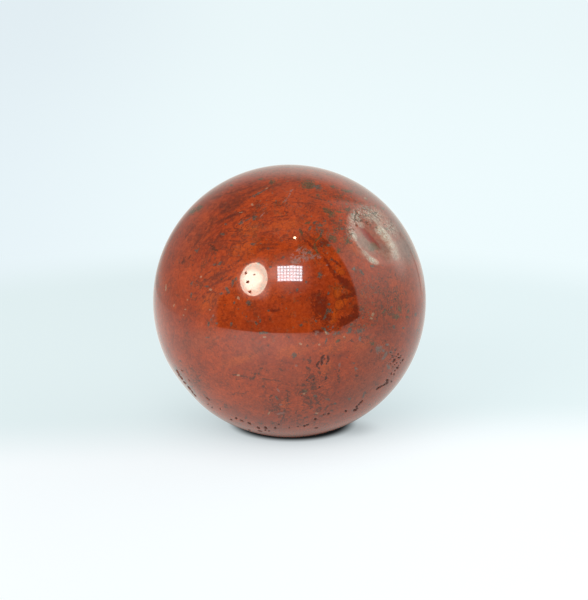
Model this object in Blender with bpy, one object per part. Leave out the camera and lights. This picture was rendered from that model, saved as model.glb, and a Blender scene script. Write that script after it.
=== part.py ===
"""A red jasper ball, ground and polished from one piece of stone, 60 mm across.

Metres, +Z up. The origin is the middle of the small flat under the stone, and the stone's front
looks along -Y. Run with blender --background --python part.py, or from Blender's text editor.
"""

import math

import bmesh
import bpy
from mathutils import Vector

MM = 0.001

# The ball, and the small ground flat that it rests on.
RADIUS = 30 * MM
FLAT_RADIUS = 4 * MM
MIDDLE_HEIGHT = math.sqrt(RADIUS**2 - FLAT_RADIUS**2)

# Marks are placed as an eye sees them that looks at the ball's middle from a little above the table.
EYE_DISTANCE = 0.7
EYE_TILT = math.radians(15)

# The hollow on the upper right of the front: an oval dish with a rounded lip.
DISH_PLACE = (18.2, 13.9)
DISH_HALF_LENGTH = 6.0 * MM
DISH_HALF_WIDTH = 4.6 * MM
DISH_DEPTH = 1.0 * MM
DISH_LIP = 0.12 * MM

# The worn patch on the lower left limb of the front, a little flatter than the ball.
WORN_PLACE = (-22.9, -19.2)
WORN_RADIUS = 9 * MM
WORN_DEPTH = 0.3 * MM

# Pits: how far right of the ball's middle and up from it, length, width, turn and depth. The lengths
# are millimetres as the eye sees them, and the turn is in degrees, anticlockwise from level.
FRONT_PITS = [
    # the curls below the middle, like a figure eight
    (6.3, -13.9, 1.15, 0.45, 82, 0.30),
    (7.2, -13.6, 1.30, 0.50, 82, 0.35),
    (7.3, -12.4, 0.95, 0.50, 55, 0.30),
    (8.6, -12.7, 1.00, 0.50, 95, 0.30),
    # the slot and the round hole below them
    (8.1, -17.1, 1.00, 0.40, 47, 0.25),
    (6.7, -19.0, 0.50, 0.50, 0, 0.25),
    (3.9, -17.5, 0.50, 0.50, 0, 0.25),
    # the lower chain on the right
    (12.4, -24.2, 0.55, 0.50, 0, 0.35),
    (14.4, -24.0, 0.90, 0.50, 17, 0.45),
    (14.8, -23.2, 0.75, 0.35, 47, 0.30),
    (15.8, -22.2, 1.20, 0.38, 45, 0.30),
    # the upper chain on the right
    (19.6, -19.1, 0.95, 0.42, 33, 0.35),
    (20.7, -18.5, 1.10, 0.35, 30, 0.30),
    (21.5, -17.5, 0.80, 0.60, 80, 0.30),
    # the cluster near the right limb
    (23.1, -13.0, 0.75, 0.55, 60, 0.35),
    (24.1, -12.5, 0.80, 0.42, 15, 0.30),
    (23.7, -14.7, 0.65, 0.55, 0, 0.30),
    # the row along the bottom
    (8.6, -24.8, 0.70, 0.42, 25, 0.35),
    (5.7, -26.0, 0.75, 0.50, 20, 0.35),
    (3.3, -27.5, 0.60, 0.42, 10, 0.35),
    (-5.2, -27.9, 0.90, 0.50, -35, 0.35),
    (-6.8, -27.9, 0.90, 0.42, -30, 0.30),
    (-8.8, -26.9, 1.00, 0.38, -30, 0.30),
    (-11.7, -25.8, 0.60, 0.42, -40, 0.30),
    # the notches in the worn patch
    (-24.7, -15.6, 1.10, 0.42, -61, 0.45),
    (-23.9, -17.0, 1.20, 0.45, -55, 0.45),
    (-22.2, -19.3, 1.30, 0.45, -52, 0.45),
    # the rough upper lip of the hollow
    (15.0, 16.9, 0.60, 0.42, -50, 0.25),
    (16.0, 17.9, 0.55, 0.45, 30, 0.30),
    (17.3, 17.4, 0.90, 0.42, -40, 0.30),
    (19.4, 16.3, 0.70, 0.42, -30, 0.25),
]
BACK_PITS = [
    (-9.5, 6.0, 1.30, 0.55, 40, 0.35),
    (-8.4, 7.3, 0.90, 0.45, 60, 0.30),
    (-11.2, 4.6, 0.60, 0.55, 0, 0.30),
    (12.8, -13.5, 1.20, 0.50, -35, 0.35),
    (14.1, -14.8, 0.70, 0.60, -20, 0.35),
    (3.5, -21.0, 0.80, 0.45, 10, 0.30),
]

# How finely the surface is drawn: the longest edges in each place, and how fast they grow away from it.
BALL_SUBDIVISIONS = 5
DISH_EDGE = 1.2 * MM
FLAT_EDGE = 1.2 * MM
PIT_EDGE = 0.34 * MM
EDGE_GROWTH = 0.9
MOST_SPLITS = 5

JASPER_RED = (0.40, 0.052, 0.014, 1.0)
JASPER_ROUGHNESS = 0.06


class Eye:
    """An eye that looks at the ball's middle from one side of the table."""

    def __init__(self, side):
        self.toward = Vector((0, side * math.cos(EYE_TILT), math.sin(EYE_TILT)))
        self.right = Vector((-side, 0, 0))
        self.up = self.toward.cross(self.right)

    def sees(self, point):
        """How far right of the ball's middle, and up from it, this point appears."""
        nearer = EYE_DISTANCE / (EYE_DISTANCE - point.dot(self.toward))
        return point.dot(self.right) * nearer, point.dot(self.up) * nearer

    def touches(self, place):
        """The point of the ball that appears at this place, given in millimetres."""
        target = self.right * (place[0] * MM) + self.up * (place[1] * MM)
        start = self.toward * EYE_DISTANCE
        ray = (target - start).normalized()
        nearest = -ray.dot(start)
        inside = max(RADIUS**2 - (start + ray * nearest).length_squared, 0)
        return start + ray * (nearest - math.sqrt(inside))


FRONT = Eye(-1)
BACK = Eye(1)


class Pit:
    """A small cavity with a sharp rim, oval as its eye sees it."""

    def __init__(self, eye, right, up, length, width, turn, depth):
        self.eye = eye
        self.place = (right * MM, up * MM)
        self.half_sizes = (length / 2 * MM, width / 2 * MM)
        self.turn = math.radians(turn)
        self.depth = depth * MM
        self.middle = eye.touches((right, up))
        facing = self.middle.normalized().dot(eye.toward)
        self.reach = max(self.half_sizes[0], self.half_sizes[1] / facing)

    def rim_share(self, point):
        """0 at the pit's middle, 1 on its rim and more outside it."""
        right, up = self.eye.sees(point)
        right -= self.place[0]
        up -= self.place[1]
        along = right * math.cos(self.turn) + up * math.sin(self.turn)
        across = up * math.cos(self.turn) - right * math.sin(self.turn)
        return math.hypot(along / self.half_sizes[0], across / self.half_sizes[1])

    def depth_at(self, point):
        if (point - self.middle).length > 2 * self.reach:
            return 0
        return self.depth * max(0, 1 - self.rim_share(point) ** 2)

    def edge_at(self, point):
        """The longest edge that draws this pit truly, at this point."""
        beyond = max(0, (point - self.middle).length - self.reach)
        return PIT_EDGE + EDGE_GROWTH * beyond


PITS = [Pit(FRONT, *sizes) for sizes in FRONT_PITS] + [Pit(BACK, *sizes) for sizes in BACK_PITS]
DISH_MIDDLE = FRONT.touches(DISH_PLACE)
DISH_ALONG = DISH_MIDDLE.cross(FRONT.toward).normalized()
DISH_ACROSS = DISH_MIDDLE.cross(DISH_ALONG).normalized()
WORN_MIDDLE = FRONT.touches(WORN_PLACE)


def clear_scene():
    for obj in list(bpy.data.objects):
        bpy.data.objects.remove(obj, do_unlink=True)


def dish_rim_share(point):
    """0 at the hollow's middle, 1 on its lip and more outside it."""
    offset = point - DISH_MIDDLE
    return math.hypot(offset.dot(DISH_ALONG) / DISH_HALF_LENGTH, offset.dot(DISH_ACROSS) / DISH_HALF_WIDTH)


def dish_depth(point):
    """A parabolic dish, eased into the ball round its lip."""
    if point.dot(DISH_MIDDLE) < 0:
        return 0
    bowl = DISH_DEPTH * (1 - dish_rim_share(point) ** 2)
    return DISH_LIP * math.log1p(math.exp(max(bowl / DISH_LIP, -30)))


def worn_depth(point):
    share = (point - WORN_MIDDLE).length / WORN_RADIUS
    return WORN_DEPTH * math.cos(math.pi / 2 * share) ** 2 if share < 1 else 0


def stone_depth(point):
    """How far the stone's surface lies under the true ball at this point of the ball."""
    pits = max(pit.depth_at(point) for pit in PITS)
    return dish_depth(point) + worn_depth(point) + pits


def edge_length_at(point):
    """The longest edge that the mesh may have at this point of the ball."""
    lengths = [pit.edge_at(point) for pit in PITS]
    if dish_rim_share(point) < 1.3 and point.dot(DISH_MIDDLE) > 0:
        lengths.append(DISH_EDGE)
    from_flat_rim = abs(math.hypot(point.x, point.y) - FLAT_RADIUS)
    if point.z < 0:
        lengths.append(FLAT_EDGE + EDGE_GROWTH * from_flat_rim)
    return min(lengths)


def split_long_edges(ball):
    """Halves the edges that are too long where they lie, and puts the new points on the ball."""
    for _ in range(MOST_SPLITS):
        long_edges = []
        for edge in ball.edges:
            middle = (edge.verts[0].co + edge.verts[1].co) / 2
            if edge.calc_length() > edge_length_at(middle.normalized() * RADIUS):
                long_edges.append(edge)
        if not long_edges:
            return
        bmesh.ops.subdivide_edges(ball, edges=long_edges, cuts=1)
        bmesh.ops.triangulate(ball, faces=[face for face in ball.faces if len(face.verts) > 3])
        for vert in ball.verts:
            vert.co = vert.co.normalized() * RADIUS


def cut_flat(ball):
    """Cuts the ball off level at the flat and closes it with one face."""
    everything = list(ball.verts) + list(ball.edges) + list(ball.faces)
    cut = bmesh.ops.bisect_plane(
        ball, geom=everything, plane_co=(0, 0, -MIDDLE_HEIGHT), plane_no=(0, 0, -1), clear_outer=True
    )
    rim = [item for item in cut["geom_cut"] if isinstance(item, bmesh.types.BMEdge)]
    for edge in rim:
        for vert in edge.verts:
            vert.co.z = -MIDDLE_HEIGHT
    bmesh.ops.edgeloop_fill(ball, edges=rim)
    bmesh.ops.recalc_face_normals(ball, faces=ball.faces)


def jasper_material():
    material = bpy.data.materials.new("jasper")
    material.use_nodes = True
    shader = material.node_tree.nodes["Principled BSDF"]
    shader.inputs["Base Color"].default_value = JASPER_RED
    shader.inputs["Roughness"].default_value = JASPER_ROUGHNESS
    shader.inputs["Metallic"].default_value = 0.0
    material.diffuse_color = JASPER_RED
    return material


def make_stone():
    ball = bmesh.new()
    bmesh.ops.create_icosphere(ball, subdivisions=BALL_SUBDIVISIONS, radius=RADIUS)
    split_long_edges(ball)
    for vert in ball.verts:
        vert.co *= 1 - stone_depth(vert.co) / RADIUS
    cut_flat(ball)
    mesh = bpy.data.meshes.new("jasper_sphere")
    ball.to_mesh(mesh)
    ball.free()
    mesh.materials.append(jasper_material())
    mesh.shade_smooth()
    stone = bpy.data.objects.new("jasper_sphere", mesh)
    stone.location.z = MIDDLE_HEIGHT
    bpy.context.scene.collection.objects.link(stone)
    return stone


clear_scene()
make_stone()
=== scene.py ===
"""The looks of a red jasper ball: one polished stone with an oval hollow, small pits and mineral marks.

The stone's shape and marks are worked out for each point of a fine mesh, and its material draws the
grain, the flow and the ragged edges of the marks. A pale table and a soft-lit studio stand round it.
"""

import math

import bmesh
import bpy
import numpy as np
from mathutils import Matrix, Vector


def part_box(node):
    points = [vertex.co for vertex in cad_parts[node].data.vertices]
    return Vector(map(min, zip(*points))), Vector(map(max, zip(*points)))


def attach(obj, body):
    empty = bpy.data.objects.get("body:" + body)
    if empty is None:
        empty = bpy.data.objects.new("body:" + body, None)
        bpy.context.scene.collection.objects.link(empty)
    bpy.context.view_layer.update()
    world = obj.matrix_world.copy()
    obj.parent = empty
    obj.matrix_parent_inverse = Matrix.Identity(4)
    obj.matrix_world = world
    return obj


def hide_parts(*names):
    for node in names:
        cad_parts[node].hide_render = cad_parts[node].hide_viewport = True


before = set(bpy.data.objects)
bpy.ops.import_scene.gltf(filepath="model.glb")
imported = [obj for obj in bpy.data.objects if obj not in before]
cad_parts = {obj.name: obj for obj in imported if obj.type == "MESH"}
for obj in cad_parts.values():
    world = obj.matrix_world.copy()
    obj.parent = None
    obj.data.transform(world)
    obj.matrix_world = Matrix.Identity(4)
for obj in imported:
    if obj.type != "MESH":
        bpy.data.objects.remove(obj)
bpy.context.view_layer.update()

MM = 0.001

# The ball as the frame gives it: it stands on a small flat, and its front looks along -Y.
STONE_LOW, STONE_HIGH = (np.array(corner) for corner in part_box("jasper_sphere"))
RADIUS = (STONE_HIGH[0] - STONE_LOW[0]) / 2
MIDDLE_HEIGHT = STONE_HIGH[2] - RADIUS

# Marks are placed as an eye sees them that looks at the ball's middle from a little above the table.
EYE_DISTANCE = 0.7
EYE_TILT = math.radians(15)

# The camera's picture is as high as its sensor is wide, and the ball's middle lies a little off its axis.
LENS = 190.9
SENSOR = 36
AIM_RIGHT = 0.99 * MM
AIM_UP = 0.22 * MM
CLIP_END = 10

# The hollow on the upper right of the front: an oval dish with a rounded lip.
DISH_PLACE = (18.2, 13.9)
DISH_HALF_LENGTH = 6.0 * MM
DISH_HALF_WIDTH = 4.6 * MM
DISH_DEPTH = 1.0 * MM
DISH_LIP = 0.12 * MM

# The worn patch on the lower left limb of the front, a little flatter than the ball.
WORN_PLACE = (-22.9, -19.2)
WORN_RADIUS = 9 * MM
WORN_DEPTH = 0.3 * MM

# Pits: how far right of the ball's middle and up from it, length, width, turn and depth. The lengths
# are millimetres as the eye sees them, and the turn is in degrees, anticlockwise from level.
FRONT_PITS = [
    # the curls below the middle
    (6.3, -13.9, 1.15, 0.45, 82, 0.3), (7.2, -13.6, 1.3, 0.5, 82, 0.35), (7.3, -12.4, 0.95, 0.5, 55, 0.3),
    (8.6, -12.7, 1.0, 0.5, 95, 0.3),
    # the slot and the round hole below them
    (8.1, -17.1, 1.0, 0.4, 47, 0.25), (6.7, -19.0, 0.5, 0.5, 0, 0.25), (3.9, -17.5, 0.5, 0.5, 0, 0.25),
    # the lower chain on the right
    (12.4, -24.2, 0.55, 0.5, 0, 0.35), (14.4, -24.0, 0.9, 0.5, 17, 0.45),
    (14.8, -23.2, 0.75, 0.35, 47, 0.3), (15.8, -22.2, 1.2, 0.38, 45, 0.3),
    # the upper chain on the right
    (19.6, -19.1, 0.95, 0.42, 33, 0.35), (20.7, -18.5, 1.1, 0.35, 30, 0.3),
    (21.5, -17.5, 0.8, 0.6, 80, 0.3),
    # the cluster near the right limb
    (23.1, -13.0, 0.75, 0.55, 60, 0.35), (24.1, -12.5, 0.8, 0.42, 15, 0.3),
    (23.7, -14.7, 0.65, 0.55, 0, 0.3),
    # the row along the bottom
    (8.6, -24.8, 0.7, 0.42, 25, 0.35), (5.7, -26.0, 0.75, 0.5, 20, 0.35), (3.3, -27.5, 0.6, 0.42, 10, 0.35),
    (-5.2, -27.9, 0.9, 0.5, -35, 0.35), (-6.8, -27.9, 0.9, 0.42, -30, 0.3),
    (-8.8, -26.9, 1.0, 0.38, -30, 0.3), (-11.7, -25.8, 0.6, 0.42, -40, 0.3),
    # the notches in the worn patch
    (-24.7, -15.6, 1.1, 0.42, -61, 0.45), (-23.9, -17.0, 1.2, 0.45, -55, 0.45),
    (-22.2, -19.3, 1.3, 0.45, -52, 0.45),
    # the rough upper lip of the hollow
    (15.0, 16.9, 0.6, 0.42, -50, 0.25), (16.0, 17.9, 0.55, 0.45, 30, 0.3),
    (17.3, 17.4, 0.9, 0.42, -40, 0.3), (19.4, 16.3, 0.7, 0.42, -30, 0.25),
]
BACK_PITS = [
    (-9.5, 6.0, 1.3, 0.55, 40, 0.35), (-8.4, 7.3, 0.9, 0.45, 60, 0.3), (-11.2, 4.6, 0.6, 0.55, 0, 0.3),
    (12.8, -13.5, 1.2, 0.5, -35, 0.35), (14.1, -14.8, 0.7, 0.6, -20, 0.35),
    (3.5, -21.0, 0.8, 0.45, 10, 0.3),
]
# Finer pits, which only show close up.
FINE_PITS = [
    # the speckled band below the middle
    (4.8, -17.1, 0.35, 0.35, 0, 0.15), (4.8, -18.0, 0.4, 0.3, 20, 0.15), (5.4, -17.3, 0.7, 0.3, 75, 0.18),
    (2.7, -20.9, 0.35, 0.35, 0, 0.15), (12.7, -12.4, 0.32, 0.26, 0, 0.12),
    (10.7, -16.0, 0.32, 0.28, 0, 0.12), (10.8, -20.1, 0.32, 0.28, 0, 0.12),
    (10.1, -15.1, 0.35, 0.28, 0, 0.12),
    # between the chains and the cluster on the right
    (21.6, -18.0, 0.38, 0.3, 30, 0.18), (22.4, -17.7, 0.48, 0.26, 80, 0.18),
    (22.8, -13.4, 0.38, 0.32, 0, 0.18), (23.9, -11.7, 0.55, 0.33, 80, 0.18),
    (24.4, -13.6, 0.32, 0.26, 0, 0.15), (24.9, -13.0, 0.66, 0.32, 60, 0.18),
    (22.7, -14.5, 0.36, 0.3, 0, 0.15), (23.1, -14.0, 0.32, 0.26, 0, 0.15),
    (22.3, -11.3, 0.36, 0.28, 0, 0.15), (23.4, -10.8, 0.32, 0.26, 60, 0.15),
    (22.4, -16.0, 0.66, 0.28, 75, 0.18), (23.0, -16.1, 0.55, 0.26, 75, 0.18),
    (22.8, -12.4, 0.34, 0.28, 0, 0.15), (22.6, -12.0, 0.4, 0.3, 0, 0.15),
    (23.5, -12.2, 0.36, 0.28, 0, 0.15), (23.6, -13.6, 0.46, 0.3, 40, 0.15),
    (22.2, -13.8, 0.32, 0.26, 0, 0.12), (24.5, -12.0, 0.34, 0.26, 0, 0.12),
    (23.2, -15.3, 0.46, 0.3, 70, 0.15), (22.1, -12.9, 0.3, 0.26, 0, 0.12),
    (24.0, -14.2, 0.36, 0.28, 0, 0.12), (19.2, -19.4, 0.6, 0.32, 30, 0.15),
    (20.1, -18.8, 0.95, 0.44, 30, 0.18), (21.3, -18.1, 0.6, 0.46, 60, 0.18),
    (14.9, -23.6, 0.6, 0.4, 60, 0.18), (15.3, -22.7, 0.6, 0.34, 45, 0.18),
    # along the bottom
    (7.5, -25.0, 0.42, 0.3, 20, 0.2), (6.9, -23.8, 0.36, 0.28, 0, 0.15), (5.9, -27.9, 0.9, 0.28, 5, 0.18),
    (4.0, -27.2, 0.9, 0.28, 20, 0.18), (1.9, -27.6, 0.36, 0.28, 0, 0.15), (0.0, -27.9, 0.4, 0.28, 0, 0.15),
    (-2.3, -27.1, 0.42, 0.32, 0, 0.18), (-3.1, -27.9, 0.66, 0.42, 10, 0.2),
    (-5.3, -28.4, 0.5, 0.28, -20, 0.18), (-6.5, -28.6, 1.1, 0.26, -10, 0.18),
    (-8.8, -28.4, 0.66, 0.24, -15, 0.18), (-4.5, -28.6, 0.42, 0.28, 0, 0.18),
    (-10.5, -26.3, 1.1, 0.32, -25, 0.2), (-12.8, -26.1, 0.66, 0.28, -25, 0.18),
    # grooves and holes of the worn patch
    (-17.9, -21.5, 1.4, 0.24, -42, 0.15), (-17.0, -23.4, 0.36, 0.28, 0, 0.15),
    (-17.9, -22.7, 0.36, 0.28, 0, 0.15), (-15.2, -23.7, 0.55, 0.26, 90, 0.15),
    (-23.6, -15.3, 0.8, 0.26, -40, 0.12), (-22.0, -17.5, 0.9, 0.26, -52, 0.12),
    (-20.9, -20.9, 0.95, 0.34, -50, 0.25),
    # on the lip of the hollow
    (14.6, 18.3, 0.6, 0.3, -60, 0.15), (18.0, 17.1, 0.6, 0.3, -35, 0.15),
    (14.2, 15.9, 0.5, 0.26, -65, 0.12),
    # the curls, drawn out
    (7.2, -13.3, 1.6, 0.58, 98, 0.2), (7.4, -12.6, 1.3, 0.5, -4, 0.2), (7.6, -12.1, 0.7, 0.42, 45, 0.16),
    (8.6, -12.4, 1.0, 0.5, 112, 0.2), (8.6, -13.1, 1.0, 0.5, 62, 0.2), (8.2, -13.8, 0.6, 0.34, 50, 0.12),
    (6.5, -13.5, 0.9, 0.46, 52, 0.18), (6.1, -14.2, 1.0, 0.48, 104, 0.18),
    (6.5, -14.8, 0.6, 0.4, 150, 0.14),
    # the worn patch's broken edge
    (-24.4, -16.3, 0.9, 0.55, -75, 0.2), (-23.2, -18.1, 1.0, 0.5, -40, 0.2),
    (-21.5, -20.2, 0.9, 0.4, -62, 0.18),
    # near the middle
    (-9.6, 6.2, 0.5, 0.3, -50, 0.15), (-7.7, 5.8, 0.28, 0.24, 0, 0.1), (-9.2, 4.2, 0.72, 0.26, 20, 0.15),
    (-8.7, 1.9, 0.42, 0.36, 0, 0.15), (9.5, -2.5, 0.38, 0.32, 0, 0.12), (9.6, -5.9, 0.5, 0.34, 60, 0.12),
    (8.9, -6.5, 0.38, 0.3, 0, 0.12),
]

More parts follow.
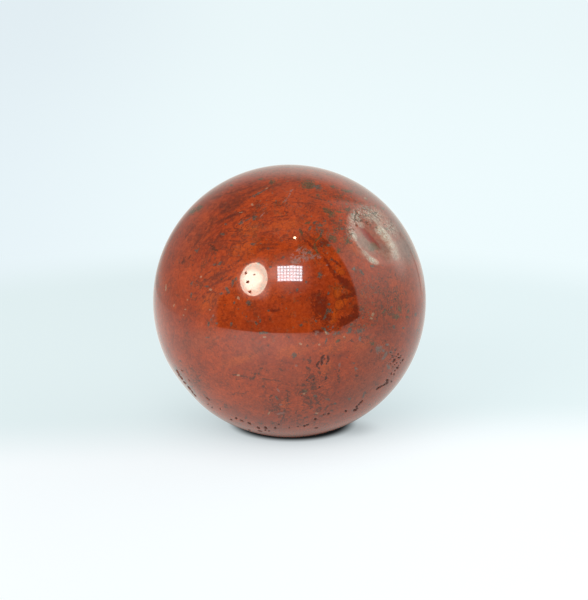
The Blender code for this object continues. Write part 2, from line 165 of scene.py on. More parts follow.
# Marks of each mineral: how far right of the ball's middle and up from it, length, width and turn,
# in the pits' units.
FRONT_MARKS = {
    "olive": [
        (4.2, 25.6, 2.5, 1.5, 5), (8.0, 20.0, 1.2, 0.8, -30), (9.2, 19.4, 1.5, 1.0, -35),
        (11.0, 19.6, 1.6, 0.3, -8), (-21.2, 19.8, 1.7, 0.8, 42), (-19.8, 20.5, 1.7, 0.8, 40),
        (12.7, 24.2, 1.9, 0.5, -8), (16.9, 22.5, 0.5, 0.4, 0), (18.9, 20.9, 0.6, 0.4, -30),
        (20.5, 20.4, 1.0, 0.45, -30), (6.2, 23.2, 0.6, 0.45, -30), (10.9, 11.0, 0.9, 0.7, 60),
        (2.6, 15.2, 1.3, 0.4, -65), (5.9, 11.2, 1.6, 0.4, -65), (12.9, 20.1, 1.2, 0.5, -15),
        (4.0, 17.2, 1.2, 0.35, 10), (6.4, 13.8, 1.2, 0.35, 45), (5.6, 12.3, 0.9, 0.4, 60),
        (9.2, 13.9, 0.9, 0.5, 20), (10.0, 13.5, 1.0, 0.55, 60), (12.3, 17.2, 1.0, 0.3, 90),
        (12.9, 13.5, 1.3, 0.6, 60), (17.4, 20.2, 1.2, 0.35, -45), (18.9, 19.2, 1.0, 0.45, 60),
        (9.5, 25.2, 0.7, 0.5, 0), (8.9, 18.4, 0.5, 0.4, 0), (21.6, 15.9, 0.7, 0.35, -45),
        (18.4, 11.9, 1.5, 0.8, -50), (-3.8, 26.2, 1.1, 0.8, 0), (-6.3, 26.8, 1.0, 0.3, 10),
        (-12.8, 25.5, 0.7, 0.3, 20), (24.2, -1.7, 1.1, 0.55, -65), (23.5, -3.4, 1.5, 0.9, 0),
        (25.9, -3.5, 0.6, 0.45, 0), (26.2, -2.1, 0.7, 0.3, 70), (20.8, -2.3, 0.8, 0.3, 30),
        (18.4, -9.4, 0.9, 0.7, 0), (10.8, -8.7, 0.9, 0.35, 30), (3.4, -19.9, 0.8, 0.6, 0),
        (-15.0, 4.8, 0.5, 0.4, 0),
    ],
    "slate": [
        (6.2, 25.1, 1.5, 1.0, -10), (-11.7, 4.9, 0.65, 0.45, 60), (-12.4, 4.3, 0.75, 0.5, 60),
        (-12.5, 3.5, 0.65, 0.4, 60), (-13.8, 2.6, 0.85, 0.55, -20), (-13.3, 1.8, 0.55, 0.35, -50),
        (-14.9, 1.7, 0.7, 0.45, 40), (-12.1, -0.3, 0.55, 0.35, 90), (-8.9, -0.4, 1.15, 0.8, -5),
        (-4.6, -2.1, 0.45, 0.4, 0), (-9.4, -3.4, 0.4, 0.3, 0), (-12.8, -5.0, 0.7, 0.4, 85),
        (-7.3, -4.9, 0.75, 0.35, -60), (-6.4, -4.4, 0.65, 0.25, 80), (-16.0, -4.9, 0.55, 0.4, 0),
        (-17.8, -5.2, 0.9, 0.35, 80), (-17.2, -4.1, 0.6, 0.25, 80), (2.5, -5.3, 0.75, 0.45, 0),
        (5.9, -4.4, 0.45, 0.4, 0), (8.6, 1.8, 0.5, 0.4, 60), (-5.9, -7.0, 2.0, 0.5, 5),
        (1.0, -12.0, 1.0, 0.75, 50), (14.3, 7.1, 0.9, 0.65, -50), (15.9, 6.3, 1.3, 0.35, -50),
        (18.2, 7.7, 0.7, 0.55, 0), (7.5, -6.1, 0.9, 0.45, -45), (8.5, -5.6, 0.45, 0.4, 0),
        (10.8, -7.0, 0.6, 0.45, 60), (13.2, -6.6, 1.3, 0.7, 60), (15.6, -6.6, 1.3, 0.7, 15),
        (13.6, -5.2, 0.9, 0.3, 40), (8.1, -8.7, 1.0, 0.4, 80), (23.0, -5.8, 0.85, 0.4, 85),
        (25.1, -5.9, 0.5, 0.35, 0), (27.8, -2.9, 0.8, 0.4, 85), (22.4, -1.4, 0.7, 0.3, 40),
        (4.2, 10.6, 1.1, 0.5, 45), (5.6, 17.2, 1.0, 0.5, 40), (6.8, 16.7, 1.3, 0.55, -5),
        (4.6, 16.1, 1.3, 0.45, 60), (7.8, 17.7, 0.5, 0.45, 0), (7.0, 14.9, 0.9, 0.3, 70),
        (11.7, 15.9, 0.8, 0.4, 0), (11.3, 17.7, 0.8, 0.3, 0), (13.9, 19.1, 0.55, 0.5, 0),
        (-4.7, 11.6, 0.5, 0.4, 0), (-1.3, 9.7, 0.7, 0.5, 70), (6.7, 5.7, 1.1, 0.7, 60),
        (3.8, 4.2, 0.6, 0.4, 60), (1.7, 2.4, 0.6, 0.35, 70), (-14.7, 14.7, 0.65, 0.45, 0),
        (-14.0, 16.9, 0.5, 0.4, 0), (-10.5, 17.4, 1.0, 0.5, 50), (-7.7, 18.3, 1.0, 0.55, 30),
        (-9.2, 17.9, 1.6, 0.22, 25), (-6.8, 23.7, 2.5, 0.32, 28), (-7.8, 23.1, 0.7, 0.4, -40),
        (8.3, -2.2, 1.3, 0.4, 75), (9.1, -2.0, 0.9, 0.3, 70), (7.8, -3.5, 1.1, 0.4, 70),
        (8.7, -0.7, 0.5, 0.4, 0), (14.2, -13.6, 0.5, 0.4, 0), (14.5, -14.9, 1.0, 0.28, -80),
        (16.4, -20.6, 1.5, 0.3, 70), (13.2, -21.5, 0.6, 0.38, 20), (5.7, -20.9, 0.7, 0.5, 0),
        (8.4, -21.6, 0.7, 0.4, -30), (10.0, -22.6, 0.6, 0.4, 0), (-2.8, -21.3, 0.85, 0.35, -50),
        (-17.9, -8.0, 0.7, 0.22, 0), (-20.6, 11.1, 0.4, 0.3, 0), (-15.3, 8.2, 1.1, 0.5, 35),
        (-16.6, 8.0, 0.8, 0.35, 10), (-20.2, 11.1, 1.0, 0.3, 60), (-21.5, 3.8, 0.9, 0.4, 60),
        (-21.6, 1.1, 1.0, 0.3, 85), (-18.2, 3.2, 0.6, 0.4, 0), (-8.0, 12.5, 0.9, 0.4, 0),
        (-10.9, 17.0, 0.6, 0.4, 0), (-4.1, 7.5, 0.5, 0.4, 0), (8.6, 12.3, 0.7, 0.4, 0),
        (9.3, 9.1, 0.5, 0.4, 0),
    ],
    "umber": [
        (-24.9, -15.2, 1.4, 0.8, -62), (-24.2, -16.6, 1.8, 0.9, -56), (-23.1, -18.0, 1.6, 0.8, -58),
        (-22.4, -19.0, 1.7, 0.9, -48), (-21.4, -20.3, 1.5, 0.7, -52), (-16.9, 12.0, 1.7, 0.4, -32),
        (-16.2, 11.2, 1.4, 0.36, -20), (-23.3, 8.7, 1.0, 0.4, 60), (-21.9, 9.7, 0.8, 0.3, 60),
        (25.2, 14.9, 5.8, 0.28, -62), (27.2, 10.9, 3.2, 0.28, -67), (21.1, -8.8, 1.0, 0.25, 25),
        (18.1, -10.9, 0.7, 0.35, 70), (4.6, -13.0, 1.0, 0.35, 80), (2.9, -18.5, 0.8, 0.45, 20),
        (2.3, -20.2, 0.8, 0.55, 0), (-1.9, -15.1, 0.8, 0.3, -30), (6.2, -22.2, 0.9, 0.3, -60),
        (8.1, -23.7, 0.8, 0.3, 30), (9.3, -22.7, 0.5, 0.3, 0), (7.8, -24.9, 0.7, 0.4, 20),
        (-0.4, -21.1, 1.5, 0.25, 90), (-0.5, -22.9, 0.9, 0.3, 30), (-12.1, -16.2, 1.0, 0.3, 0),
        (-5.2, -17.2, 1.5, 0.22, -5), (-4.2, -17.3, 1.2, 0.25, -5), (-2.9, -17.5, 1.3, 0.2, -10),
        (-9.4, -20.0, 0.8, 0.2, 15), (-10.0, -16.6, 1.3, 0.22, -10), (10.9, -17.2, 0.5, 0.4, 0),
        (13.6, -8.8, 0.8, 0.4, 0), (3.1, -12.9, 0.6, 0.3, 60), (8.3, -16.0, 0.45, 0.35, 0),
        (-14.0, -23.4, 1.0, 0.25, -15), (-19.9, -17.5, 0.5, 0.4, 0), (-24.0, -13.2, 0.4, 0.3, 0),
        (16.7, -20.3, 0.6, 0.3, 20), (6.0, -24.1, 0.8, 0.4, 0), (14.7, -16.4, 0.55, 0.4, 0),
        (17.6, -22.8, 0.5, 0.32, 30), (19.1, -18.3, 0.6, 0.4, 0), (4.1, -14.7, 0.6, 0.5, 0),
        (6.8, -15.7, 0.9, 0.4, 0), (5.2, -19.0, 0.9, 0.6, 20), (4.7, -22.6, 2.0, 0.28, 85),
        (4.8, -23.2, 0.6, 0.4, 0), (9.3, -24.1, 0.5, 0.35, 0), (-7.7, -16.8, 1.0, 0.4, 40),
        (-7.4, -16.0, 0.6, 0.3, 60), (-6.7, -16.0, 0.5, 0.4, 0), (-6.2, -14.9, 0.5, 0.35, 0),
        (-8.6, -17.1, 1.0, 0.35, 0), (-12.3, -20.5, 0.45, 0.35, 0), (-11.4, -20.2, 0.5, 0.35, 0),
        (-10.4, -20.4, 0.7, 0.25, 0), (-5.7, -18.7, 0.5, 0.4, 0), (-4.1, -21.0, 0.6, 0.3, 50),
        (-3.7, -24.1, 0.9, 0.35, 15), (-2.9, -24.1, 0.5, 0.35, 0), (-1.1, -24.2, 1.0, 0.32, 80),
        (-1.3, -25.4, 1.4, 0.25, 75), (-1.7, -26.3, 0.9, 0.25, 70), (-2.3, -25.6, 0.8, 0.3, 50),
        (1.5, -24.4, 0.9, 0.25, 75), (3.6, -25.7, 0.8, 0.3, 15), (-3.5, -26.8, 0.8, 0.4, 0),
        (-6.4, -26.9, 0.9, 0.3, -10), (-9.5, -25.7, 0.6, 0.4, 20), (-14.0, -22.9, 0.5, 0.4, 0),
        (-0.4, -19.9, 0.7, 0.4, -40), (4.1, -12.9, 0.4, 0.3, 0), (-4.6, -9.8, 0.45, 0.35, 0),
        (3.9, -9.8, 0.5, 0.35, 0), (-21.6, -16.3, 0.4, 0.35, 0), (-21.6, -18.9, 0.4, 0.35, 0),
        (-21.1, -19.6, 0.4, 0.35, 0), (5.2, -16.5, 0.5, 0.4, 20), (4.5, -17.6, 0.5, 0.35, 60),
        (5.4, -18.2, 0.6, 0.4, 0), (3.0, -20.0, 0.5, 0.4, 0), (3.5, -20.8, 0.6, 0.4, 40),
        (5.2, -20.2, 0.5, 0.35, 0), (4.7, -22.0, 0.6, 0.35, 70), (5.7, -21.3, 0.5, 0.35, 0),
        (6.2, -22.4, 0.7, 0.35, 60), (6.7, -23.4, 0.6, 0.4, 20), (5.0, -23.3, 0.5, 0.35, 0),
        (8.4, -23.2, 0.5, 0.35, 0), (7.2, -25.2, 0.5, 0.35, 20), (5.8, -25.0, 0.5, 0.35, 0),
        (3.0, -24.0, 0.5, 0.35, 0), (3.9, -24.5, 0.6, 0.35, 20), (10.7, -14.3, 0.4, 0.35, 0),
        (10.9, -15.4, 0.5, 0.3, 80), (10.8, -16.5, 0.4, 0.3, 70), (10.9, -17.8, 0.4, 0.3, 0),
        (8.0, -16.7, 0.4, 0.3, 50),
    ],
    "vein": [
        (-8.5, 24.0, 7.6, 0.4, 23), (-11.4, 24.3, 5.0, 0.26, 17), (-14.9, 17.8, 5.0, 0.36, 26),
        (-18.0, 15.3, 3.4, 0.34, 58), (-16.4, 13.0, 4.0, 0.3, 8), (-11.6, 13.2, 3.4, 0.3, -3),
        (-12.3, 18.9, 4.4, 0.34, 23), (-16.7, 5.4, 4.4, 0.44, 28), (-14.4, 6.3, 4.6, 0.4, 22),
        (-15.6, 4.4, 3.6, 0.36, 34), (-13.4, 4.9, 2.6, 0.4, 30), (-11.9, 20.7, 3.6, 0.6, 34),
        (-13.6, 20.6, 4.2, 0.5, 40), (-10.0, 22.4, 3.0, 0.6, 26), (-20.6, 12.6, 3.2, 0.34, 55),
        (-5.2, 12.4, 4.4, 0.34, 2), (-4.4, 11.6, 3.6, 0.32, 4), (-2.9, 25.4, 3.4, 0.36, 18),
        (-2.0, 18.6, 3.4, 0.28, 6), (-4.6, 15.2, 3.8, 0.28, 8), (-11.8, 8.4, 2.6, 0.34, 30),
        (2.6, 21.6, 4.0, 0.3, -6), (6.0, 22.6, 3.6, 0.3, -14), (-21.8, 15.4, 3.2, 0.34, 52),
        (10.8, 17.0, 3.4, 0.32, -28), (5.0, 13.6, 3.0, 0.34, -48), (-0.4, 13.8, 3.0, 0.28, -6),
    ],
    "blue": [
        (19.5, -10.6, 1.4, 0.8, 70), (20.6, -10.9, 0.9, 0.6, 0), (20.1, -10.1, 0.7, 0.5, 0),
        (21.5, -9.6, 0.6, 0.45, 0), (20.9, -12.3, 1.4, 0.5, 55), (21.2, -11.6, 0.8, 0.45, 60),
        (21.8, -14.5, 1.0, 0.5, -60), (22.3, -11.3, 0.6, 0.4, 0), (8.3, -6.9, 1.1, 0.5, -50),
        (15.5, -8.3, 0.9, 0.38, 80), (14.3, 7.2, 0.5, 0.4, 0), (10.1, -7.1, 0.5, 0.3, 60),
    ],
    "lilac": [
        (0.5, 24.3, 0.8, 0.3, 40), (0.0, 23.3, 0.9, 0.3, 60), (-0.8, 22.2, 0.7, 0.3, 50),
        (2.1, 11.4, 1.5, 0.3, 35), (3.4, 9.6, 1.2, 0.3, -30), (1.5, 9.1, 0.9, 0.4, -10),
        (0.7, 8.5, 0.8, 0.4, -20), (5.0, 9.6, 0.9, 0.35, 10), (6.6, 9.5, 0.7, 0.3, 20),
        (-5.9, 19.0, 1.3, 0.22, 45), (8.3, 7.9, 0.5, 0.3, 0), (1.4, -14.2, 0.5, 0.35, 0),
        (-2.4, -19.7, 0.7, 0.3, -50), (-1.8, -24.7, 1.5, 0.4, 10), (-1.9, -22.8, 0.5, 0.35, 0),
        (11.0, -14.1, 1.0, 0.4, 80), (14.8, -14.9, 0.5, 0.3, 0), (5.6, 9.9, 0.6, 0.3, 60),
        (-16.8, -3.3, 0.5, 0.3, 60), (5.9, -7.0, 1.0, 0.6, 60),
    ],
    "cream": [
        (-19.5, 5.3, 0.6, 0.28, 50), (-25.4, -0.9, 0.5, 0.24, 70), (-11.2, 0.7, 0.65, 0.4, -60),
        (-17.3, 2.5, 0.5, 0.35, 0), (-22.4, 0.3, 0.3, 0.22, 0), (-22.9, -1.8, 0.3, 0.22, 0),
        (-23.3, -3.1, 0.3, 0.22, 0), (-17.5, -1.9, 0.4, 0.28, 60), (-27.2, 2.9, 1.1, 0.26, 85),
        (-8.2, 21.2, 0.5, 0.38, 0), (-10.7, 19.5, 0.6, 0.16, 10), (-5.0, 24.8, 0.6, 0.16, 30),
        (-11.2, -16.3, 0.5, 0.35, 0), (-5.4, -7.9, 0.5, 0.35, 0), (2.5, -9.4, 0.5, 0.4, 0),
        (8.1, -7.0, 0.6, 0.35, -50), (16.7, 22.6, 0.6, 0.35, -30), (18.4, -2.9, 0.8, 0.5, 60),
        (18.0, -3.8, 0.5, 0.35, 0), (3.2, -20.4, 0.4, 0.28, 0), (6.0, -24.7, 0.6, 0.3, 0),
        (-4.5, -24.7, 0.7, 0.26, 50), (12.0, -7.9, 0.4, 0.3, 0), (6.6, -9.6, 0.4, 0.3, 0),
    ],
    "maroon": [
        (12.3, 3.9, 5.2, 1.3, -39), (13.7, 2.7, 2.0, 1.2, -25), (11.3, 5.0, 1.6, 0.7, -60),
        (12.9, 1.1, 3.4, 0.8, 15), (13.9, 1.5, 1.4, 0.6, 40), (6.9, -1.3, 5.0, 3.0, -78),
        (7.9, -3.2, 2.6, 1.7, -60), (12.3, -4.5, 3.2, 1.8, 25), (14.2, -3.5, 2.6, 1.4, 20),
        (14.7, -1.7, 1.2, 1.5, 0), (6.2, -6.7, 2.2, 0.9, 5), (4.7, 12.3, 2.6, 0.45, -50),
        (-3.3, -2.1, 2.0, 0.6, 0), (7.6, 12.8, 2.4, 1.2, 10), (-12.8, 18.7, 1.7, 0.3, 25),
        (3.4, 13.4, 1.2, 0.4, -50), (10.2, 8.6, 2.0, 0.5, -40), (4.8, -16.4, 1.2, 0.6, 40),
        (9.1, 7.2, 5.0, 0.55, -58),
    ],
    "orange": [
        (10.6, 2.2, 2.6, 1.8, 70), (11.6, 0.0, 2.2, 1.2, 0), (10.0, -2.6, 2.4, 0.8, 70),
        (10.9, 6.8, 1.6, 0.9, -60), (14.2, 2.3, 1.0, 0.5, 10), (9.6, -4.4, 1.6, 1.0, 40),
        (12.0, -8.2, 4.0, 1.6, 10), (9.6, -10.4, 4.0, 1.8, 15), (15.6, -9.8, 3.4, 1.4, 15),
        (-10.0, 11.6, 4.6, 2.6, 20), (-9.0, 15.8, 4.0, 2.2, 15), (-17.6, 0.0, 4.6, 2.4, 40),
        (-1.0, 16.8, 5.6, 1.8, 5), (0.6, -11.0, 5.0, 2.2, 10), (-11.0, -13.0, 6.0, 1.6, 15),
        (-1.0, -22.6, 2.0, 1.6, 60), (27.8, -5.3, 1.8, 0.45, 82), (14.2, 11.8, 3.0, 1.4, -50),
        (8.0, -14.6, 3.0, 2.0, 70), (19.0, 9.0, 2.6, 1.0, -40),
    ],
}

# Soft broad changes in the stone's look, some of them painted light or shade: place, length, width and turn
# in the marks' units, and how strong. The last four belong to the hollow and its surroundings.
FRONT_ZONES = {
    # browner, duller jasper, and on the right and lower right painted shade as well
    "dull_and_shade": [
        (20.0, -2.0, 15, 18, 0, 0.35), (17.0, -19.0, 16, 10, 40, 0.6), (18.0, -12.0, 10, 9, 30, 0.6),
        (24.0, 6.0, 12, 9, -50, 0.35), (-22.0, -9.0, 8, 5, 20, 0.5), (-10.0, -12.0, 12, 4, 15, 0.3),
        (-6.0, -23.0, 14, 5, 0, 0.12), (-20.0, 14.0, 14, 6, 55, 0.35), (4.6, -9.4, 3, 5, 0, 0.3),
        (-22.0, -18.0, 14, 6, -50, 0.7), (18.0, 22.0, 14, 5, -35, 0.4), (2.0, -17.0, 4, 7, 0, 0.3),
        (12.6, 10.9, 6, 5, -50, 0.7), (-19.7, -8.6, 9, 6, 20, 0.6),
    ],
    # brighter, more orange jasper
    "bright": [
        (-11.0, 5.0, 20, 20, 20, 0.4), (-1.0, 20.0, 18, 7, 0, 0.45), (-9.0, 14.0, 16, 10, 30, 0.4),
        (-14.0, -1.0, 12, 8, 0, 0.5), (-10.0, -21.0, 16, 8, -25, 0.5), (-4.0, -17.0, 12, 8, 0, 0.4),
        (6.5, -10.0, 10, 5, 5, 0.8), (-2.0, 22.5, 9, 6, 0, 0.6), (-14.0, -8.0, 12, 6, 0, 0.2),
        (11.0, -9.5, 7, 5, 20, 0.7), (-9.0, 17.0, 9, 7, 20, 0.6), (2.0, 15.5, 6, 7, 0, 0.5),
    ],
    # deeper red jasper
    "deep": [
        (9.5, 15.0, 10, 12, 0, 0.5), (2.0, 1.0, 9, 11, 0, 0.6), (-8.0, 26.0, 13, 5, 20, 0.7),
        (-12.6, 22.0, 10, 4.5, 38, 0.5), (3.0, 8.0, 8, 8, 0, 0.5), (20.0, 22.0, 14, 4, -42, 0.5),
        (6.2, 3.2, 8, 11, -15, 0.9),
    ],
    # smoky brown bands, drawn out along the flow
    "smoke": [
        (-12.4, 21.7, 8.4, 3.6, 38, 1.0), (-8.0, 24.2, 6.0, 2.2, 30, 0.8), (-16.2, 4.6, 6.4, 3.0, 38, 0.9),
        (-14.0, 6.2, 4.6, 2.4, 22, 0.7), (-19.4, 0.9, 3.0, 1.2, 35, 0.6), (-15.6, 13.0, 7.0, 2.4, 48, 0.35),
        (-5.0, 12.0, 6.0, 2.0, 5, 0.6), (-23.0, 8.6, 5.0, 2.6, 60, 0.7), (-20.0, 13.6, 5.0, 2.4, 52, 0.7),
        (7.8, 12.6, 4.2, 2.6, 10, 0.7), (-3.6, 25.6, 3.0, 1.6, 20, 0.8), (4.6, -18.8, 3.6, 5.0, 0, 0.6),
    ],
    # where the worn patch's edge is chipped
    "chipped": [
        (-22.9, -18.3, 13, 6, -55, 1.5),
    ],
    # a net of fine lilac veins
    "net": [
        (2.7, 10.0, 6.6, 4.0, 12, 1.0), (1.4, 8.7, 3.0, 2.0, -10, 0.9), (5.6, 9.8, 3.4, 1.4, 20, 0.7),
    ],
    # where small dark grains are thick
    "grainy": [
        (9.6, 14.5, 12, 9, 20, 1.0), (4.0, 10.0, 8, 6, 0, 0.6), (-3.0, 22.0, 14, 6, 10, 0.3),
        (-12.0, 14.0, 16, 9, 35, 0.1), (-18.0, 7.0, 14, 9, 50, 0.45), (5.0, -19.5, 8, 12, 0, 1.0),
        (16.8, -3.0, 7, 16, 0, 0.6), (21.0, 0.0, 12, 14, 0, 0.9), (22.0, -13.0, 7, 8, 0, 0.7),
        (-2.5, -23.5, 9, 7, 0, 0.9), (16.5, 19.0, 10, 5, -35, 1.0), (-20.5, -17.5, 12, 6, -50, 0.5),
        (-9.0, -17.0, 9, 5, 0, 0.3), (10.0, 4.0, 8, 6, 0, 0.1), (2.0, -26.5, 22, 4, 0, 0.6),
        (12.0, 22.0, 14, 6, -20, 0.6),
    ],
    # where the flow is drawn out into streaks
    "streaky": [
        (-13.0, 16.0, 24, 16, 40, 1.0), (-3.0, 20.0, 22, 12, 5, 0.9), (-17.0, 3.0, 14, 12, 50, 0.8),
        (6.0, 20.0, 14, 8, -15, 0.6), (-3.0, 13.0, 16, 8, 10, 0.6), (-10.0, -16.0, 16, 6, 10, 0.4),
    ],
    # the hollow's worn, unpolished skin
    "frosted": [
        (18.2, 13.9, 13, 10.5, -52, 0.5), (14.4, 15.6, 7.0, 3.0, -68, 0.5),
        (16.6, 10.9, 7.6, 3.2, -48, 0.6), (24.6, 12.0, 11.0, 6.5, -70, 0.6),
        (19.4, 18.0, 8.0, 3.4, -32, 0.45), (21.6, 10.8, 6.0, 4.0, -62, 0.85),
    ],
    # the pale bands along the hollow's lip: pale worn skin and painted highlights
    "pale": [
        (20.4, 15.5, 4.4, 2.0, -47, 1.1), (21.5, 14.1, 4.0, 2.1, -52, 1.0),
        (22.5, 12.4, 4.4, 2.1, -62, 0.85), (23.2, 10.6, 4.2, 2.2, -70, 0.7),
        (14.3, 14.5, 3.4, 1.8, -68, 0.9), (15.3, 12.4, 3.6, 1.4, -54, 0.25),
        (16.9, 10.4, 3.6, 1.5, -42, 0.5), (18.4, 9.0, 3.6, 1.8, -30, 1.1), (15.9, 17.2, 2.8, 1.5, -28, 0.6),
        (13.9, 18.4, 2.6, 2.2, 0, 0.55), (17.9, 18.6, 4.0, 2.0, -25, 0.5), (19.5, 17.4, 3.0, 2.0, -40, 0.5),
    ],
    # the rough part of the lip, with its grooves
    "lip": [
        (14.6, 18.6, 5.6, 3.6, 50, 1.0), (18.4, 19.0, 8.6, 4.2, -25, 1.0), (22.0, 16.2, 6.0, 3.4, -48, 0.9),
        (13.6, 15.2, 5.0, 2.4, -75, 0.9),
    ],
    # a greyish painted sheen, the pale room's reflection, right of the hollow and along the top limb
    "grey_sheen": [
        (23.4, 16.8, 9.0, 4.4, -58, 0.7), (25.6, 11.6, 8.5, 5.5, -70, 0.8),
        (22.0, 20.4, 6.0, 2.6, -42, 0.5), (20.8, 12.2, 5.0, 2.4, -52, 0.7),
        (19.6, 13.0, 2.6, 1.2, -50, 0.6), (2.0, 28.3, 30.0, 4.6, -2, 0.45),
        (-15.4, 24.6, 14.0, 3.4, 38, 0.35), (15.5, 24.6, 13.0, 4.0, -33, 0.45),
    ],
}

# The same on the far side.
BACK_ZONES = {
    "dull_and_shade": [(-12.0, -8.0, 20, 12, 30, 0.5), (16.0, 10.0, 14, 10, -20, 0.4), (2.0, -22.0, 20, 8, 0, 0.4)],
    "bright": [(8.0, -6.0, 18, 12, -20, 0.6), (-10.0, 14.0, 16, 9, 30, 0.5)],
    "deep": [(-16.0, 4.0, 10, 14, 20, 0.6), (6.0, 16.0, 14, 8, -30, 0.6)],
    "smoke": [
        (-9.0, 9.0, 9.0, 3.0, -25, 0.9), (-14.0, 5.0, 7.0, 2.4, -35, 0.8), (7.0, 3.0, 8.0, 2.6, -20, 0.8),
        (12.0, -4.0, 6.0, 2.4, -30, 0.7), (-3.0, -10.0, 8.0, 2.4, -12, 0.7),
        (1.0, 19.0, 10.0, 3.0, -15, 0.8),
    ],
    "net": [(-6.0, -4.0, 6.0, 3.6, 20, 0.9), (15.0, 14.0, 5.0, 3.0, -30, 0.8)],
    "grainy": [
        (-4.0, 4.0, 14, 10, 20, 0.8), (13.0, -12.0, 12, 9, -30, 0.9), (-17.0, -9.0, 12, 10, 40, 0.8),
        (4.0, -20.0, 14, 8, 0, 0.7), (16.0, 9.0, 9, 12, 0, 0.6), (-14.0, 18.0, 12, 8, 30, 0.7),
        (6.0, 12.0, 10, 6, -20, 0.5),
    ],
    "streaky": [
        (-8.0, 8.0, 26, 18, -20, 1.0), (10.0, 2.0, 22, 14, -20, 0.9), (0.0, 19.0, 26, 10, -10, 0.9),
        (-6.0, -12.0, 22, 10, -10, 0.6),
    ],
}

# Marks with smooth edges, in the marks' units.
SMOOTH_MARKS = {
    # orange ovals with darker rims, among the dark red clouds
    "amber": [
        (10.6, 1.9, 2.8, 1.7, 82), (11.0, -0.8, 2.5, 2.2, 60), (11.6, 6.3, 1.6, 1.3, 0),
        (8.1, -7.1, 1.1, 0.9, 40), (15.9, 1.2, 1.3, 1.1, 0),
    ],
    # the hollow's dark red streak, deepened by a painted dark reflection, the olive spot at its end,
    # and the painted greyish haze on its floor
    "streak": [(18.0, 14.55, 6.6, 1.25, -47)],
    "spot": [(19.3, 12.4, 2.2, 1.2, -50)],
    "hollow_haze": [(17.3, 13.0, 5.4, 2.8, -38)],
}

# The rough lip's grooves follow crossing waves of these lengths.
GROOVE_SEED = 3
GROOVE_WAVES = 14
GROOVE_LENGTHS = (1.3 * MM, 2.6 * MM)
GROOVE_SHARPNESS = 0.36
GROOVE_DEPTH = 0.09 * MM

# How finely the surface is drawn: the longest edges in each place, and how fast they grow away from it.
BALL_SUBDIVISIONS = 7
BALL_EDGE = 0.55 * MM
PIT_EDGE = 0.13 * MM
MARK_EDGE = 0.17 * MM
FAR_MARK_EDGE = 0.30 * MM
DISH_EDGE = 0.26 * MM
LIP_EDGE = 0.15 * MM
EDGE_GROWTH = 0.9
# An edge is halved when it is this many times too long. In a wide mark it may be this share of the half
# width. The hollow and its lip are fine out to this share and down to this strength.
EDGE_SLACK = 1.15
EDGE_SHARE_OF_MARK = 0.8
FINE_DISH_SHARE = 1.35
FINE_LIP_STRENGTH = 0.1
MOST_SPLITS = 3
# Points that lie lower than this above the flat belong to it, and aren't carved.
FLAT_MARGIN = 0.01 * MM

# Ragged edges eat into the marks, so they are drawn this much larger.
MARK_GROWTH = 1.22

# How far from an oval, in its own reaches, a pit, a zone and a mark still count, how softly zones fade,
# and how much an oval near the limb may be drawn out along the ball.
PIT_REACHES = 2
ZONE_REACHES = 1.6
MARK_REACHES = 2.5
ZONE_FADE = 1.2
LEAST_FACING = 0.25

# The dish's share at every point of the ball's other half.
FAR_FROM_DISH = 9.0

# Marks on the far side, strewn in clusters. Sizes are in the marks' units, and pairs are limits of draws.
STREWN_SEED = 7
STREWN_CLUSTERS = 76
STREWN_IN_CLUSTER = (3, 9)
STREWN_SPREAD = (1.0, 3.5)
STREWN_FLATNESS = 0.6
STREWN_TURN = 25
STREWN_KINDS = (
    "olive", "slate", "umber", "vein", "vein", "vein",
    "umber", "slate", "maroon", "lilac", "cream", "orange",
)
STREWN_REACH = 27
STREWN_LENGTH = 0.6
STREWN_LENGTHS = {"maroon": 2.4, "orange": 3.0, "vein": 3.0, "cream": 0.4}
STREWN_LENGTH_SHARES = (0.7, 2.0)
STREWN_WIDTH_SHARES = (0.35, 0.9)
STREWN_VEIN_WIDTH = 0.4


class Eye:
    """An eye that looks at the ball's middle from one side of the table."""

    def __init__(self, side):
        self.toward = np.array((0, side * math.cos(EYE_TILT), math.sin(EYE_TILT)))
        self.right = np.array((-side, 0, 0))
        self.up = np.cross(self.toward, self.right)

    def sees(self, points):
        """How far right of the ball's middle, and up from it, each point appears."""
        nearer = EYE_DISTANCE / (EYE_DISTANCE - points @ self.toward)
        return points @ self.right * nearer, points @ self.up * nearer

    def touches(self, place):
        """The point of the ball that appears at this place, given in millimetres."""
        target = self.right * (place[0] * MM) + self.up * (place[1] * MM)
        start = self.toward * EYE_DISTANCE
        ray = (target - start) / np.linalg.norm(target - start)
        nearest = -ray @ start
        foot = start + ray * nearest
        inside = max(RADIUS**2 - foot @ foot, 0)
        return start + ray * (nearest - math.sqrt(inside))


FRONT = Eye(-1)
BACK = Eye(1)


class Oval:
    """An oval on the ball, as its eye sees it."""

    def __init__(self, eye, right, up, length, width, turn):
        self.eye = eye
        self.place = (right * MM, up * MM)
        self.half_sizes = (length / 2 * MM, width / 2 * MM)
        self.turn = math.radians(turn)
        self.middle = eye.touches((right, up))
        facing = max(self.middle @ eye.toward / RADIUS, LEAST_FACING)
        self.reach = max(self.half_sizes) / facing

    def shares(self, points):
        """0 at the oval's middle, 1 on its rim and more outside it."""
        right, up = self.eye.sees(points)
        right = right - self.place[0]
        up = up - self.place[1]
        along = right * math.cos(self.turn) + up * math.sin(self.turn)
        across = up * math.cos(self.turn) - right * math.sin(self.turn)
        return np.hypot(along / self.half_sizes[0], across / self.half_sizes[1])

    def near(self, points, reaches):
        """The indices of the points that lie within so many reaches of the oval."""
        away = points - self.middle
        return np.flatnonzero(np.einsum("ij,ij->i", away, away) < (reaches * self.reach) ** 2)


class Pit(Oval):
    """A small cavity with a sharp rim."""

    def __init__(self, eye, right, up, length, width, turn, depth):
        super().__init__(eye, right, up, length, width, turn)
        self.depth = depth * MM


def grown_mark(right, up, length, width, turn):
    """A mark on the front, enlarged for its ragged edge."""
    return Oval(FRONT, right, up, length * MARK_GROWTH, width * MARK_GROWTH, turn)


